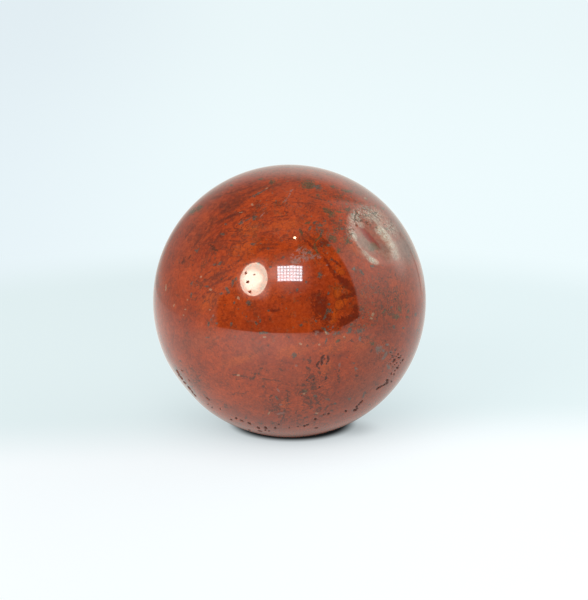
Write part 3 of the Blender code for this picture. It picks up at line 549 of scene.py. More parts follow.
def strewn_marks():
    """Clusters of marks on the far half of the ball."""
    chance = np.random.default_rng(STREWN_SEED)
    marks = {kind: [] for kind in FRONT_MARKS}
    for _ in range(STREWN_CLUSTERS):
        kind = STREWN_KINDS[chance.integers(len(STREWN_KINDS))]
        spread = chance.uniform(*STREWN_SPREAD)
        angle = chance.uniform(0, 2 * math.pi)
        out = STREWN_REACH * math.sqrt(chance.uniform())
        lean = chance.uniform(0, 180)
        size = STREWN_LENGTHS.get(kind, STREWN_LENGTH)
        for _ in range(chance.integers(*STREWN_IN_CLUSTER)):
            right = out * math.cos(angle) + chance.normal(0, spread)
            up = out * math.sin(angle) + chance.normal(0, spread * STREWN_FLATNESS)
            length = size * chance.uniform(*STREWN_LENGTH_SHARES)
            width = STREWN_VEIN_WIDTH
            if kind != "vein":
                width = length * chance.uniform(*STREWN_WIDTH_SHARES)
            turn = lean + chance.normal(0, STREWN_TURN)
            if math.hypot(right, up) < STREWN_REACH + 1:
                marks[kind].append(Oval(BACK, right, up, length, width, turn))
    return marks


COARSE_PITS = [Pit(FRONT, *sizes) for sizes in FRONT_PITS] + [Pit(BACK, *sizes) for sizes in BACK_PITS]
PITS = COARSE_PITS + [Pit(FRONT, *sizes) for sizes in FINE_PITS]
MARKS = {kind: [grown_mark(*sizes) for sizes in rows] for kind, rows in FRONT_MARKS.items()}
for strewn_kind, strewn in strewn_marks().items():
    MARKS[strewn_kind] += strewn
DISH_MIDDLE = FRONT.touches(DISH_PLACE)
DISH_ALONG = np.cross(DISH_MIDDLE, FRONT.toward)
DISH_ALONG /= np.linalg.norm(DISH_ALONG)
DISH_ACROSS = np.cross(DISH_MIDDLE, DISH_ALONG)
DISH_ACROSS /= np.linalg.norm(DISH_ACROSS)
WORN_MIDDLE = FRONT.touches(WORN_PLACE)


def dish_shares(points):
    """0 at the hollow's middle, 1 on its lip and more outside it."""
    away = points - DISH_MIDDLE
    shares = np.hypot(away @ DISH_ALONG / DISH_HALF_LENGTH, away @ DISH_ACROSS / DISH_HALF_WIDTH)
    return np.where(points @ DISH_MIDDLE > 0, shares, FAR_FROM_DISH)


def dish_depths(points):
    """A parabolic dish, eased into the ball round its lip."""
    bowl = DISH_DEPTH * (1 - dish_shares(points) ** 2)
    return DISH_LIP * np.log1p(np.exp(np.clip(bowl / DISH_LIP, -30, 60)))


def worn_depths(points):
    """A shallow round bowl that eases into the ball."""
    shares = np.minimum(np.linalg.norm(points - WORN_MIDDLE, axis=1) / WORN_RADIUS, 1)
    return WORN_DEPTH * np.cos(math.pi / 2 * shares) ** 2


def pit_depths(points):
    """Small bowls with sharp rims. Where two overlap, the deeper one counts."""
    depths = np.zeros(len(points))
    for pit in PITS:
        near = pit.near(points, PIT_REACHES)
        bowl = pit.depth * np.maximum(0, 1 - pit.shares(points[near]) ** 2)
        depths[near] = np.maximum(depths[near], bowl)
    return depths


def lip_grooves(points):
    """1 along the small crooked grooves of the hollow's rough lip, and 0 between them."""
    chance = np.random.default_rng(GROOVE_SEED)
    waves = np.zeros(len(points))
    for _ in range(GROOVE_WAVES):
        heading = chance.normal(size=3)
        heading *= 2 * math.pi / (np.linalg.norm(heading) * chance.uniform(*GROOVE_LENGTHS))
        waves += np.sin(points @ heading + chance.uniform(0, 2 * math.pi))
    grooves = np.exp(-((waves / (GROOVE_SHARPNESS * math.sqrt(GROOVE_WAVES))) ** 2))
    return grooves * zone_strengths(points, FRONT_ZONES["lip"])


def stone_depths(points):
    """How far the stone's surface lies under the true ball at each point of the ball."""
    grooves = GROOVE_DEPTH * lip_grooves(points)
    return dish_depths(points) + worn_depths(points) + pit_depths(points) + grooves


def longest_edges(points):
    """The longest edge that the mesh may have at each point of the ball."""
    longest = np.full(len(points), BALL_EDGE)
    longest[dish_shares(points) < FINE_DISH_SHARE] = DISH_EDGE
    longest[zone_strengths(points, FRONT_ZONES["lip"]) > FINE_LIP_STRENGTH] = LIP_EDGE
    ovals = [(pit, PIT_EDGE) for pit in PITS]
    for marks in MARKS.values():
        ovals += [(mark, MARK_EDGE if mark.eye is FRONT else FAR_MARK_EDGE) for mark in marks]
    for oval, edge in ovals:
        fine = max(edge, min(oval.half_sizes) * EDGE_SHARE_OF_MARK)
        away = np.linalg.norm(points - oval.middle, axis=1)
        near = np.flatnonzero(away < oval.reach + (BALL_EDGE - fine) / EDGE_GROWTH)
        beyond = np.maximum(0, oval.shares(points[near]) - 1) * min(oval.half_sizes)
        longest[near] = np.minimum(longest[near], fine + EDGE_GROWTH * beyond)
    return longest


def split_long_edges(ball):
    """Halves the edges that are too long where they lie, and puts the new points on the ball."""
    for _ in range(MOST_SPLITS):
        ball.verts.ensure_lookup_table()
        ball.edges.ensure_lookup_table()
        places = np.array([vert.co[:] for vert in ball.verts])
        ends = np.array([(edge.verts[0].index, edge.verts[1].index) for edge in ball.edges])
        starts, stops = places[ends[:, 0]], places[ends[:, 1]]
        middles = (starts + stops) / 2
        middles *= RADIUS / np.linalg.norm(middles, axis=1)[:, None]
        too_long = np.linalg.norm(starts - stops, axis=1) > longest_edges(middles) * EDGE_SLACK
        long_edges = [ball.edges[int(index)] for index in np.flatnonzero(too_long)]
        if not long_edges:
            return
        bmesh.ops.subdivide_edges(ball, edges=long_edges, cuts=1)
        bmesh.ops.triangulate(ball, faces=[face for face in ball.faces if len(face.verts) > 3])
        ball.verts.index_update()
        ball.edges.index_update()
        for vert in ball.verts:
            vert.co = vert.co.normalized() * RADIUS


def cut_flat(ball):
    """Cuts the ball off level at the flat and closes it with one face."""
    everything = list(ball.verts) + list(ball.edges) + list(ball.faces)
    cut = bmesh.ops.bisect_plane(
        ball, geom=everything, plane_co=(0, 0, -MIDDLE_HEIGHT), plane_no=(0, 0, -1), clear_outer=True
    )
    rim = [item for item in cut["geom_cut"] if isinstance(item, bmesh.types.BMEdge)]
    for edge in rim:
        for vert in edge.verts:
            vert.co.z = -MIDDLE_HEIGHT
    bmesh.ops.edgeloop_fill(ball, edges=rim)
    bmesh.ops.recalc_face_normals(ball, faces=ball.faces)


def mark_strengths(points, ovals):
    """1 at a mark's middle, 0 on its rim, and down to -1 away from every mark."""
    strengths = np.full(len(points), -1.0)
    for oval in ovals:
        near = oval.near(points, MARK_REACHES)
        strengths[near] = np.maximum(strengths[near], 1 - oval.shares(points[near]))
    return strengths


def zone_strengths(points, rows, eye=FRONT):
    """Broad zones that fade out softly, each strongest at its middle."""
    strengths = np.zeros(len(points))
    for *sizes, strength in rows:
        oval = Oval(eye, *sizes)
        near = oval.near(points, ZONE_REACHES)
        fade = np.clip(1 - oval.shares(points[near]) ** 2, 0, 1)
        strengths[near] = np.maximum(strengths[near], strength * fade**ZONE_FADE)
    return strengths


def write_attribute(mesh, name, values):
    attribute = mesh.attributes.new(name, "FLOAT", "POINT")
    attribute.data.foreach_set("value", values.astype(np.float32))


def make_stone():
    """The ball with its flat, its hollow and its pits, and the strength of every mark at each point."""
    ball = bmesh.new()
    bmesh.ops.create_icosphere(ball, subdivisions=BALL_SUBDIVISIONS, radius=RADIUS)
    split_long_edges(ball)
    cut_flat(ball)
    mesh = bpy.data.meshes.new("jasper_stone")
    ball.to_mesh(mesh)
    ball.free()

    places = np.empty(len(mesh.vertices) * 3)
    mesh.vertices.foreach_get("co", places)
    places = places.reshape(-1, 3)
    on_ball = places * (RADIUS / np.linalg.norm(places, axis=1))[:, None]
    above_flat = (places[:, 2] > -MIDDLE_HEIGHT + FLAT_MARGIN)[:, None]
    depths = stone_depths(on_ball)
    carved = np.where(above_flat, places * (1 - depths / RADIUS)[:, None], places)
    carved[:, 2] += MIDDLE_HEIGHT
    mesh.vertices.foreach_set("co", carved.ravel())

    for kind, ovals in MARKS.items():
        write_attribute(mesh, kind, mark_strengths(on_ball, ovals))
    write_attribute(mesh, "pit", mark_strengths(on_ball, PITS))
    for kind, rows in SMOOTH_MARKS.items():
        write_attribute(mesh, kind, mark_strengths(on_ball, [Oval(FRONT, *sizes) for sizes in rows]))
    for kind, rows in FRONT_ZONES.items():
        far = zone_strengths(on_ball, BACK_ZONES.get(kind, []), BACK)
        write_attribute(mesh, kind, np.maximum(zone_strengths(on_ball, rows), far))
    write_attribute(mesh, "groove", lip_grooves(on_ball))

    mesh.shade_smooth()
    stone = bpy.data.objects.new("jasper_stone", mesh)
    bpy.context.scene.collection.objects.link(stone)
    return stone


class Painter:
    """Short names for the nodes that a material or the studio's light is drawn with.

    Every value may be a number, a colour or another node's socket.
    """

    def __init__(self, tree):
        self.tree = tree

    def node(self, kind, **settings):
        made = self.tree.nodes.new(kind)
        for name, value in settings.items():
            setattr(made, name, value)
        return made

    def feed(self, socket, value):
        if isinstance(value, bpy.types.NodeSocket):
            self.tree.links.new(value, socket)
        else:
            socket.default_value = value

    def math(self, operation, first, second=0.0, clamp=False):
        made = self.node("ShaderNodeMath", operation=operation, use_clamp=clamp)
        self.feed(made.inputs[0], first)
        self.feed(made.inputs[1], second)
        return made.outputs[0]

    def vector(self, operation, first, second):
        made = self.node("ShaderNodeVectorMath", operation=operation)
        self.feed(made.inputs[0], first)
        self.feed(made.inputs[1], second)
        return made.outputs[0]

    def parts(self, vector):
        """The three numbers that a place or a colour is made of."""
        made = self.node("ShaderNodeSeparateXYZ")
        self.feed(made.inputs[0], vector)
        return made.outputs

    def measure(self, operation, first, second=(0, 0, 0)):
        """A vector's length, two places' distance or two directions' dot product."""
        made = self.node("ShaderNodeVectorMath", operation=operation)
        self.feed(made.inputs[0], first)
        self.feed(made.inputs[1], second)
        return made.outputs["Value"]

    def scaled(self, vector, scale):
        made = self.node("ShaderNodeVectorMath", operation="SCALE")
        self.feed(made.inputs[0], vector)
        self.feed(made.inputs["Scale"], scale)
        return made.outputs[0]

    def range(self, value, low, high, to_low=0.0, to_high=1.0, kind="SMOOTHSTEP"):
        """A step from one number to another while the value goes from low to high."""
        made = self.node("ShaderNodeMapRange", interpolation_type=kind)
        numbers = {"Value": value, "From Min": low, "From Max": high, "To Min": to_low, "To Max": to_high}
        for name, number in numbers.items():
            self.feed(made.inputs[name], number)
        return made.outputs[0]

    def mix(self, share, first, second):
        """A colour between two others. The share is the second one's."""
        made = self.node("ShaderNodeMix", data_type="RGBA")
        self.feed(made.inputs[0], share)
        self.feed(made.inputs[6], first)
        self.feed(made.inputs[7], second)
        return made.outputs[2]

    def blend(self, share, first, second):
        """A number between two others. The share is the second one's."""
        made = self.node("ShaderNodeMix", data_type="FLOAT")
        self.feed(made.inputs[0], share)
        self.feed(made.inputs[2], first)
        self.feed(made.inputs[3], second)
        return made.outputs[0]

    def noise(self, place, size, detail=2.0, roughness=0.5, distortion=0.0):
        """Noise whose lumps are about this big, in metres, from 0 to 1."""
        made = self.node("ShaderNodeTexNoise")
        self.feed(made.inputs["Vector"], place)
        self.feed(made.inputs["Scale"], 1 / size)
        self.feed(made.inputs["Detail"], detail)
        self.feed(made.inputs["Roughness"], roughness)
        self.feed(made.inputs["Distortion"], distortion)
        return made.outputs["Fac"]

    def noise_vector(self, place, size, detail=2.0):
        made = self.node("ShaderNodeTexNoise")
        self.feed(made.inputs["Vector"], place)
        self.feed(made.inputs["Scale"], 1 / size)
        self.feed(made.inputs["Detail"], detail)
        return self.vector("SUBTRACT", made.outputs["Color"], (0.5, 0.5, 0.5))

    def threads(self, place, size, width, distortion=1.0):
        """Thin crooked lines where smooth noise crosses its middle value: 1 along them, 0 beside them."""
        wave = self.noise(place, size, 1.0, 0.5, distortion)
        beside = self.math("ABSOLUTE", self.less(wave, 0.5))
        return self.range(beside, width, 0.0)

    def sum(self, first, second):
        return self.math("ADD", first, second)

    def less(self, first, second):
        return self.math("SUBTRACT", first, second)

    def product(self, *values):
        result = values[0]
        for value in values[1:]:
            result = self.math("MULTIPLY", result, value)
        return result

    def cells(self, place, size):
        """Cells of about this size: how far a spot is from its cell's middle, and the cell's own draws."""
        made = self.node("ShaderNodeTexVoronoi", feature="F1")
        self.feed(made.inputs["Vector"], place)
        self.feed(made.inputs["Scale"], 1 / size)
        return made.outputs["Distance"], self.parts(made.outputs["Color"])

    def attribute(self, name):
        return self.node("ShaderNodeAttribute", attribute_name=name).outputs["Fac"]


# The stone's colours, as linear light.
RED = (0.37, 0.0455, 0.0058, 1)
BRIGHT_RED = (0.44, 0.058, 0.0080, 1)
DEEP_RED = (0.265, 0.0310, 0.0065, 1)
BROWN_RED = (0.235, 0.050, 0.021, 1)
MAROON = (0.105, 0.013, 0.006, 1)
STREAK_BROWN = (0.125, 0.022, 0.009, 1)
OLIVE = (0.105, 0.070, 0.027, 1)
SLATE = (0.095, 0.078, 0.060, 1)
BLUE_GREY = (0.175, 0.130, 0.112, 1)
LILAC = (0.27, 0.135, 0.110, 1)
CREAM = (0.42, 0.27, 0.16, 1)
ORANGE = (0.42, 0.065, 0.007, 1)
AMBER = (0.36, 0.060, 0.007, 1)
DARK_SPECK = (0.052, 0.030, 0.018, 1)
GREEN_SPECK = (0.140, 0.098, 0.058, 1)
UMBER = (0.085, 0.017, 0.005, 1)
PIT_SHADE = (0.085, 0.018, 0.009, 1)
CHIPPED_RED = (0.150, 0.036, 0.018, 1)
SHEEN_GREY = (0.115, 0.088, 0.074, 1)
FROST = (0.27, 0.150, 0.105, 1)
PALE_FROST_AND_HIGHLIGHT = (0.50, 0.475, 0.39, 1)
HOLLOW_HAZE_GREY = (0.165, 0.115, 0.080, 1)
GROOVE_SHADE = (0.085, 0.064, 0.036, 1)
DEEP_STREAK = (0.23, 0.020, 0.008, 1)

POLISH = 0.035
WORN_POLISH = 0.33
PIT_ROUGHNESS = 0.6
JASPER_IOR = 1.54
BLOOM_WEIGHT = 0.10
BLOOM_ROUGHNESS = 0.28
BLOOM_IOR = 1.5


# How big the stone's patterns are: the clouds of its ground, the stirring and rippling of all that lies
# in it, its bands and fibres, its threads, specks and dots, and the noise that frays their edges.
BROAD_CLOUD_SIZE = 11 * MM
CLOUD_SIZE = 3.2 * MM
STIR_SIZE = 9 * MM
STIR_REACH = 5 * MM
RIPPLE_SIZE = 2.2 * MM
RIPPLE_REACH = 1.5 * MM
FLOW_CORE = (20 * MM, -10 * MM, -2 * MM)
FLOW_SQUEEZE = 7.0
BAND_SIZE = 6 * MM
FIBRE_SIZE = 2.4 * MM
THREAD_SIZE = 1.5 * MM
THREAD_PATCH_SIZE = 2.9 * MM
BROWN_THREAD_SIZE = 1.1 * MM
BROWN_PATCH_SIZE = 4.1 * MM
NET_SIZE = 1.3 * MM
HUE_SIZE = 2.4 * MM
SPECK_SIZE = 0.85 * MM
DOT_SIZES = (1.25 * MM, 0.6 * MM)
MOTTLE_SIZE = 0.95 * MM
GRAIN_SIZE = 0.42 * MM
RAGGED_SIZE = 0.46 * MM
RAGGED_BROAD_SIZE = 1.25 * MM
SPECKLE_SIZE = 0.36 * MM
# Thin lines along the flow: their spacing, their width, and the noise that breaks them up.
FLOW_LINES = ((5 * MM, 0.055, 0.42, 0.55), (2.4 * MM, 0.065, 0.46, 0.58))


class Veins:
    """The patterns that several of the stone's layers share."""

    def __init__(self, paint):
        self.place = paint.node("ShaderNodeTexCoord").outputs["Object"]
        stir = paint.scaled(paint.noise_vector(self.place, STIR_SIZE, 3.0), STIR_REACH)
        self.stirred = paint.vector("ADD", self.place, stir)
        ripple = paint.scaled(paint.noise_vector(self.place, RIPPLE_SIZE), RIPPLE_REACH)
        self.ripple = paint.vector("ADD", self.place, ripple)
        self.flow = self.shells(paint)
        self.mottle = paint.noise(self.place, MOTTLE_SIZE, 3.0, 0.62, 0.4)
        self.grain = paint.noise(self.place, GRAIN_SIZE, 2.0, 0.6)
        self.ragged = paint.noise(self.place, RAGGED_SIZE, 3.0, 0.65, 0.5)
        self.ragged_broad = paint.noise(self.stirred, RAGGED_BROAD_SIZE, 4.0, 0.68, 0.8)
        self.speckle = paint.noise(self.place, SPECKLE_SIZE, 2.0, 0.6)
        self.grainy = paint.math("ADD", paint.attribute("grainy"), 0.22, clamp=True)
        self.brown = self.brown_share(paint)

    def brown_share(self, paint):
        """How brown the grains are: brown low down, half brown at the sides, grey or olive elsewhere."""
        across, _, up = paint.parts(self.place)
        low = paint.range(up, MIDDLE_HEIGHT + 3 * MM, MIDDLE_HEIGHT - 6 * MM, 0, 1.0)
        left = paint.range(across, -5 * MM, -14 * MM, 0, 0.6)
        right = paint.range(across, 15 * MM, 20 * MM, 0, 0.6)
        return paint.math("MAXIMUM", low, paint.math("MAXIMUM", left, right))

    def shells(self, paint):
        """The stone's flow: round shells about a point at its lower right, stirred by slow noise."""
        from_core = paint.measure("DISTANCE", self.stirred, FLOW_CORE)
        across, back, up = paint.parts(self.place)
        flow = paint.node("ShaderNodeCombineXYZ")
        paint.feed(flow.inputs[0], paint.product(from_core, FLOW_SQUEEZE))
        paint.feed(flow.inputs[1], back)
        paint.feed(flow.inputs[2], paint.sum(up, across))
        return flow.outputs[0]


def mask(paint, kind, ragged, amount=0.9, soft=0.16):
    """Where a mineral shows: its marks' strength, made ragged at the edge by noise."""
    strength = paint.attribute(kind)
    wander = paint.product(paint.less(ragged, 0.5), 2 * amount)
    return paint.range(paint.sum(strength, wander), -soft, soft)


def paint_ground(paint, veins):
    """The red ground, in soft clouds of deeper, brighter and browner jasper."""
    broad = paint.noise(veins.place, BROAD_CLOUD_SIZE, 3.0, 0.55, 0.6)
    middling = paint.noise(veins.stirred, CLOUD_SIZE, 3.0, 0.6, 0.4)
    colour = paint.mix(paint.range(broad, 0.36, 0.62, 0.25, 1.0), DEEP_RED, RED)
    colour = paint.mix(paint.range(middling, 0.46, 0.72, 0, 0.7), colour, BRIGHT_RED)
    colour = paint.mix(paint.product(paint.attribute("bright"), 0.8), colour, BRIGHT_RED)
    colour = paint.mix(paint.product(paint.attribute("deep"), 0.8), colour, DEEP_RED)
    mottled = paint.range(veins.mottle, 0.50, 0.72, 0, 0.28)
    # Browner, duller jasper in the dull zones and the mottling. The zones on the right and lower right are
    # painted shade too.
    dull_and_shade = paint.math("ADD", paint.attribute("dull_and_shade"), mottled, clamp=True)
    colour = paint.mix(paint.product(dull_and_shade, 0.8), colour, BROWN_RED)
    orange = mask(paint, "orange", veins.ragged_broad, 0.9, 0.6)
    return paint.mix(paint.product(orange, 0.7), colour, ORANGE)


def paint_streaks(paint, veins, colour):
    """Bands and thin lines drawn out along the flow, and the dark red clouds."""
    streaky = paint.math("ADD", paint.attribute("streaky"), 0.2, clamp=True)
    bands = paint.noise(veins.flow, BAND_SIZE, 4.0, 0.62, 0.3)
    dark_bands = paint.product(paint.range(bands, 0.53, 0.66), streaky, 0.5)
    colour = paint.mix(dark_bands, colour, STREAK_BROWN)
    pale_bands = paint.product(paint.range(bands, 0.45, 0.34), streaky, 0.3)
    colour = paint.mix(pale_bands, colour, BRIGHT_RED)
    fibres = paint.range(paint.noise(veins.flow, FIBRE_SIZE, 3.0, 0.7), 0.36, 0.60, 0.25, 0.85)
    colour = paint.mix(paint.product(paint.attribute("smoke"), fibres, 0.62), colour, STREAK_BROWN)
    for size, width, low, high in FLOW_LINES:
        broken = paint.range(paint.noise(veins.place, size * 0.6, 2.0), low, high)
        lines = paint.threads(veins.flow, size, width, 0.4)
        colour = paint.mix(paint.product(lines, broken, streaky, 0.85), colour, STREAK_BROWN)
    frayed = paint.blend(0.5, veins.ragged_broad, veins.ragged)
    maroon = mask(paint, "maroon", frayed, 2.2, 0.30)
    cloudy = paint.range(veins.mottle, 0.35, 0.62, 0.60, 1.0)
    colour = paint.mix(paint.product(maroon, cloudy, 0.88), colour, MAROON)
    amber = mask(paint, "amber", veins.ragged, 0.25, 0.10)
    off_rim = paint.math("ABSOLUTE", paint.less(paint.attribute("amber"), 0.02))
    colour = paint.mix(paint.product(amber, 0.55), colour, AMBER)
    return paint.mix(paint.range(off_rim, 0.14, 0.04, 0, 0.5), colour, STREAK_BROWN)


def paint_grains(paint, veins, colour):
    """Crooked threads, specks and round grains, thick where the stone is grainy."""
    hue = paint.noise(veins.place, HUE_SIZE, 2.0)
    grain_colour = paint.mix(paint.range(hue, 0.42, 0.58), OLIVE, SLATE)
    grain_colour = paint.mix(paint.range(veins.speckle, 0.46, 0.58), grain_colour, DARK_SPECK)
    grain_colour = paint.mix(veins.brown, grain_colour, UMBER)
    patches = paint.sum(paint.noise(veins.place, THREAD_PATCH_SIZE, 2.0), paint.product(veins.grainy, 0.16))
    threads = paint.threads(veins.ripple, THREAD_SIZE, 0.075)
    most = paint.range(veins.grainy, 0.2, 0.6, 0.40, 0.78)
    shown = paint.product(threads, paint.range(patches, 0.53, 0.64), most)
    colour = paint.mix(shown, colour, grain_colour)
    brown_threads = paint.threads(veins.ripple, BROWN_THREAD_SIZE, 0.085)
    brown_patches = paint.range(paint.noise(veins.place, BROWN_PATCH_SIZE, 3.0), 0.42, 0.60)
    curly = paint.range(paint.attribute("streaky"), 0.2, 0.8, 0.48, 0.20)
    colour = paint.mix(paint.product(brown_threads, brown_patches, curly), colour, STREAK_BROWN)

    specks = paint.noise(veins.ripple, SPECK_SIZE, 3.0, 0.7, 1.0)
    level = paint.less(0.70, paint.product(veins.grainy, 0.11))
    speck = paint.range(paint.less(specks, level), -0.02, 0.04)
    colour = paint.mix(paint.product(speck, 0.85), colour, grain_colour)
    large, small = DOT_SIZES
    colour = paint_dots(paint, veins, colour, large, 0.45, (0.30, 0.19), STREAK_BROWN, STREAK_BROWN)
    first = paint.mix(veins.brown, DARK_SPECK, UMBER)
    second = paint.mix(veins.brown, GREEN_SPECK, UMBER)
    return paint_dots(paint, veins, colour, small, 0.42, (0.44, 0.28), first, second)


def paint_dots(paint, veins, colour, spacing, share, rim, first, second):
    """Small round grains of two colours. A share of all places holds one where the stone is grainy."""
    from_middle, draws = paint.cells(veins.ripple, spacing)
    thick = paint.sum(paint.product(veins.grainy, veins.grainy, share), 0.03)
    chosen = paint.math("LESS_THAN", draws[0], thick)
    dot = paint.range(paint.sum(from_middle, paint.product(veins.grain, 0.16)), *rim)
    tone = paint.mix(paint.range(draws[1], 0.55, 0.60), first, second)
    return paint.mix(paint.product(dot, chosen, 0.8), colour, tone)


def paint_minerals(paint, veins, colour):
    """The listed minerals, each with darker specks in it."""
    netted = paint.range(paint.attribute("net"), 0.1, 0.6)
    net = paint.product(paint.threads(veins.ripple, NET_SIZE, 0.11), netted, 0.8)
    colour = paint.mix(net, colour, LILAC)
    # Each one's colour, how far its specks darken it, how ragged its edge is, and its greatest share.
    minerals = {
        "olive": (OLIVE, 0.8, 2.2, 0.88),
        "slate": (SLATE, 0.7, 1.9, 0.88),
        "umber": (UMBER, 0.4, 2.8, 0.85),
        "vein": (STREAK_BROWN, 0.25, 2.2, 0.62),
        "blue": (BLUE_GREY, 0.4, 1.6, 0.80),
        "lilac": (LILAC, 0.35, 1.6, 0.65),
        "cream": (CREAM, 0.1, 1.5, 0.60),
    }
    dark = paint.range(veins.speckle, 0.45, 0.60)
    for kind, (tone, darkened, raggedness, most) in minerals.items():
        shown = mask(paint, kind, veins.ragged, raggedness, 0.30)
        spotted = paint.mix(paint.product(dark, darkened), tone, DARK_SPECK)
        colour = paint.mix(paint.product(shown, most), colour, spotted)
    return colour


def paint_hollow(paint, veins, colour):
    """The hollow's worn skin, with pale bands and ridges that are partly painted highlights, its grooves
    darkened by painted shade, its red streak deepened by a painted dark reflection, the painted grey haze
    on its floor, a painted grey sheen near it, and its olive spot.
    """
    uneven = paint.range(veins.mottle, 0.30, 0.62, 0.45, 1.0)
    worn = paint.product(paint.attribute("frosted"), uneven)
    colour = paint.mix(worn, colour, FROST)
    # Painted sheen: the pale room's reflection, painted grey along the top limb and right of the hollow.
    colour = paint.mix(paint.product(paint.attribute("grey_sheen"), 0.75), colour, SHEEN_GREY)
    # A painted reflection: the greyish haze on the hollow's floor.
    hollow_haze = mask(paint, "hollow_haze", veins.ragged_broad, 0.9, 0.5)
    colour = paint.mix(paint.product(hollow_haze, 0.6), colour, HOLLOW_HAZE_GREY)
    # The streak's deep red is the stone's red, deepened by a painted dark reflection.
    streak = mask(paint, "streak", veins.ragged, 0.5, 0.3)
    colour = paint.mix(paint.product(streak, 0.95), colour, DEEP_STREAK)
    spot = mask(paint, "spot", veins.ragged, 0.6, 0.3)
    colour = paint.mix(paint.product(spot, 0.7), colour, OLIVE)
    # The pale bands and the pale ridges between the lip's grooves: pale worn skin and painted highlights.
    pale = paint.product(paint.attribute("pale"), paint.range(veins.speckle, 0.40, 0.60, 0.50, 1.05))
    groove = paint.range(paint.attribute("groove"), 0.28, 0.70)
    speckled = paint.range(veins.speckle, 0.40, 0.60)
    ridge = paint.product(paint.attribute("lip"), paint.less(1.0, groove), speckled, 0.72)
    pale = paint.math("MAXIMUM", pale, ridge)
    colour = paint.mix(pale, colour, PALE_FROST_AND_HIGHLIGHT)
    # Painted shade darkens the lip's grooves.
    colour = paint.mix(paint.product(groove, 0.9), colour, GROOVE_SHADE)
    unpolished = paint.math("MAXIMUM", worn, pale)
    return colour, paint.product(unpolished, paint.range(streak, 0, 1, 1.0, 0.15))


def jasper_material():
    material = bpy.data.materials.new("polished_jasper")
    material.use_nodes = True
    tree = material.node_tree
    shader = tree.nodes["Principled BSDF"]
    paint = Painter(tree)
    veins = Veins(paint)

    colour = paint_ground(paint, veins)
    colour = paint_streaks(paint, veins, colour)
    colour = paint_grains(paint, veins, colour)
    colour = paint_minerals(paint, veins, colour)
    colour, worn = paint_hollow(paint, veins, colour)

    # Grain and mottling lighten and darken it all a little.
    light_grain = paint.range(veins.grain, 0.36, 0.64, 0.86, 1.14, "LINEAR")
    light_mottle = paint.range(veins.mottle, 0.36, 0.64, -0.13, 0.13, "LINEAR")
    colour = paint.scaled(colour, paint.sum(light_grain, light_mottle))

    pit_edge = paint.product(paint.less(veins.ragged, 0.5), 1.1)
    pit = paint.range(paint.sum(paint.attribute("pit"), pit_edge), -0.24, 0.22)
    # All pits are painted dark, as painted shade in them. Pits on the hollow's worn skin are paler, and
    # those in the chipped patch are redder.
    on_hollow = paint.math("MAXIMUM", paint.attribute("lip"), paint.attribute("frosted"))
    on_hollow = paint.range(on_hollow, 0.0, 0.25)
    pit_tone = paint.mix(paint.attribute("chipped"), PIT_SHADE, CHIPPED_RED)
    pit_tone = paint.mix(on_hollow, pit_tone, GROOVE_SHADE)
    colour = paint.mix(paint.product(pit, paint.blend(on_hollow, 0.92, 0.35)), colour, pit_tone)
    paint.feed(shader.inputs["Base Color"], colour)

    rough = paint.blend(paint.math("MULTIPLY", worn, 1.0, clamp=True), POLISH, WORN_POLISH)
    rough = paint.blend(pit, rough, PIT_ROUGHNESS)
    paint.feed(shader.inputs["Roughness"], rough)
    shader.inputs["IOR"].default_value = JASPER_IOR
    shader.inputs["Coat Weight"].default_value = BLOOM_WEIGHT
    shader.inputs["Coat Roughness"].default_value = BLOOM_ROUGHNESS
    shader.inputs["Coat IOR"].default_value = BLOOM_IOR
    return material


# The studio. Azimuths run from the front towards the right, and elevations up from level, in degrees.
FLOOR_REACH = 0.178
OUTER_REACH = 4.0
# The table's look is painted light: its glow is brighter at the front, and painted shadows round the
# stone's foot darken its glow and its white.
FLOOR_WHITE = (0.15, 0.16, 0.16)
FLOOR_SEEN_BACK = (0.62, 0.725, 0.750, 1)
FLOOR_SEEN_FRONT = (0.79, 0.835, 0.865, 1)
FLOOR_SPREAD = (0.60, 0.61, 0.60, 1)
MIRRORED_TINT = (1.04, 1.05, 1.0)
SHADE_MIDDLE = (0.6 * MM, 5.4 * MM, 0)
# How far the stone's painted shadow on the table reaches, as the eye sees it and as the stone mirrors it,
# and a weaker painted shadow at its right.
SEEN_SHADE = (12 * MM, 11.3 * MM, 14.8 * MM)
MIRRORED_SHADE = (17.5 * MM, 11.5 * MM, 18 * MM)
RIGHT_SHADE_MIDDLE = (12.8 * MM, 1.5 * MM, 0)
RIGHT_SHADE = (1 * MM, 8.5 * MM, 0.74, 1.0)
LEAST_OPEN = 0.02
# Where the floor turns from its painted darker back to its painted brighter front, and where the backdrop
# hides it. Here and below, each step goes from one place to another, in metres, with the light or its share
# at each of them.
FLOOR_SLANT = 0.12
FLOOR_TURN = (0.017, -0.023)
FLOOR_FADE = (0.132, 0.174)
FLOOR_ACROSS = (-0.05, 0.055, 0.99, 1.065)
MIRRORED_ACROSS = (-0.03, 0.03, 0.80, 0.70)
MIRRORED_LEFT = (-0.15, -0.07, 0.88, 1.0)
MIRRORED_AWAY = (0.085, 0.165, 1.0, 0.82)
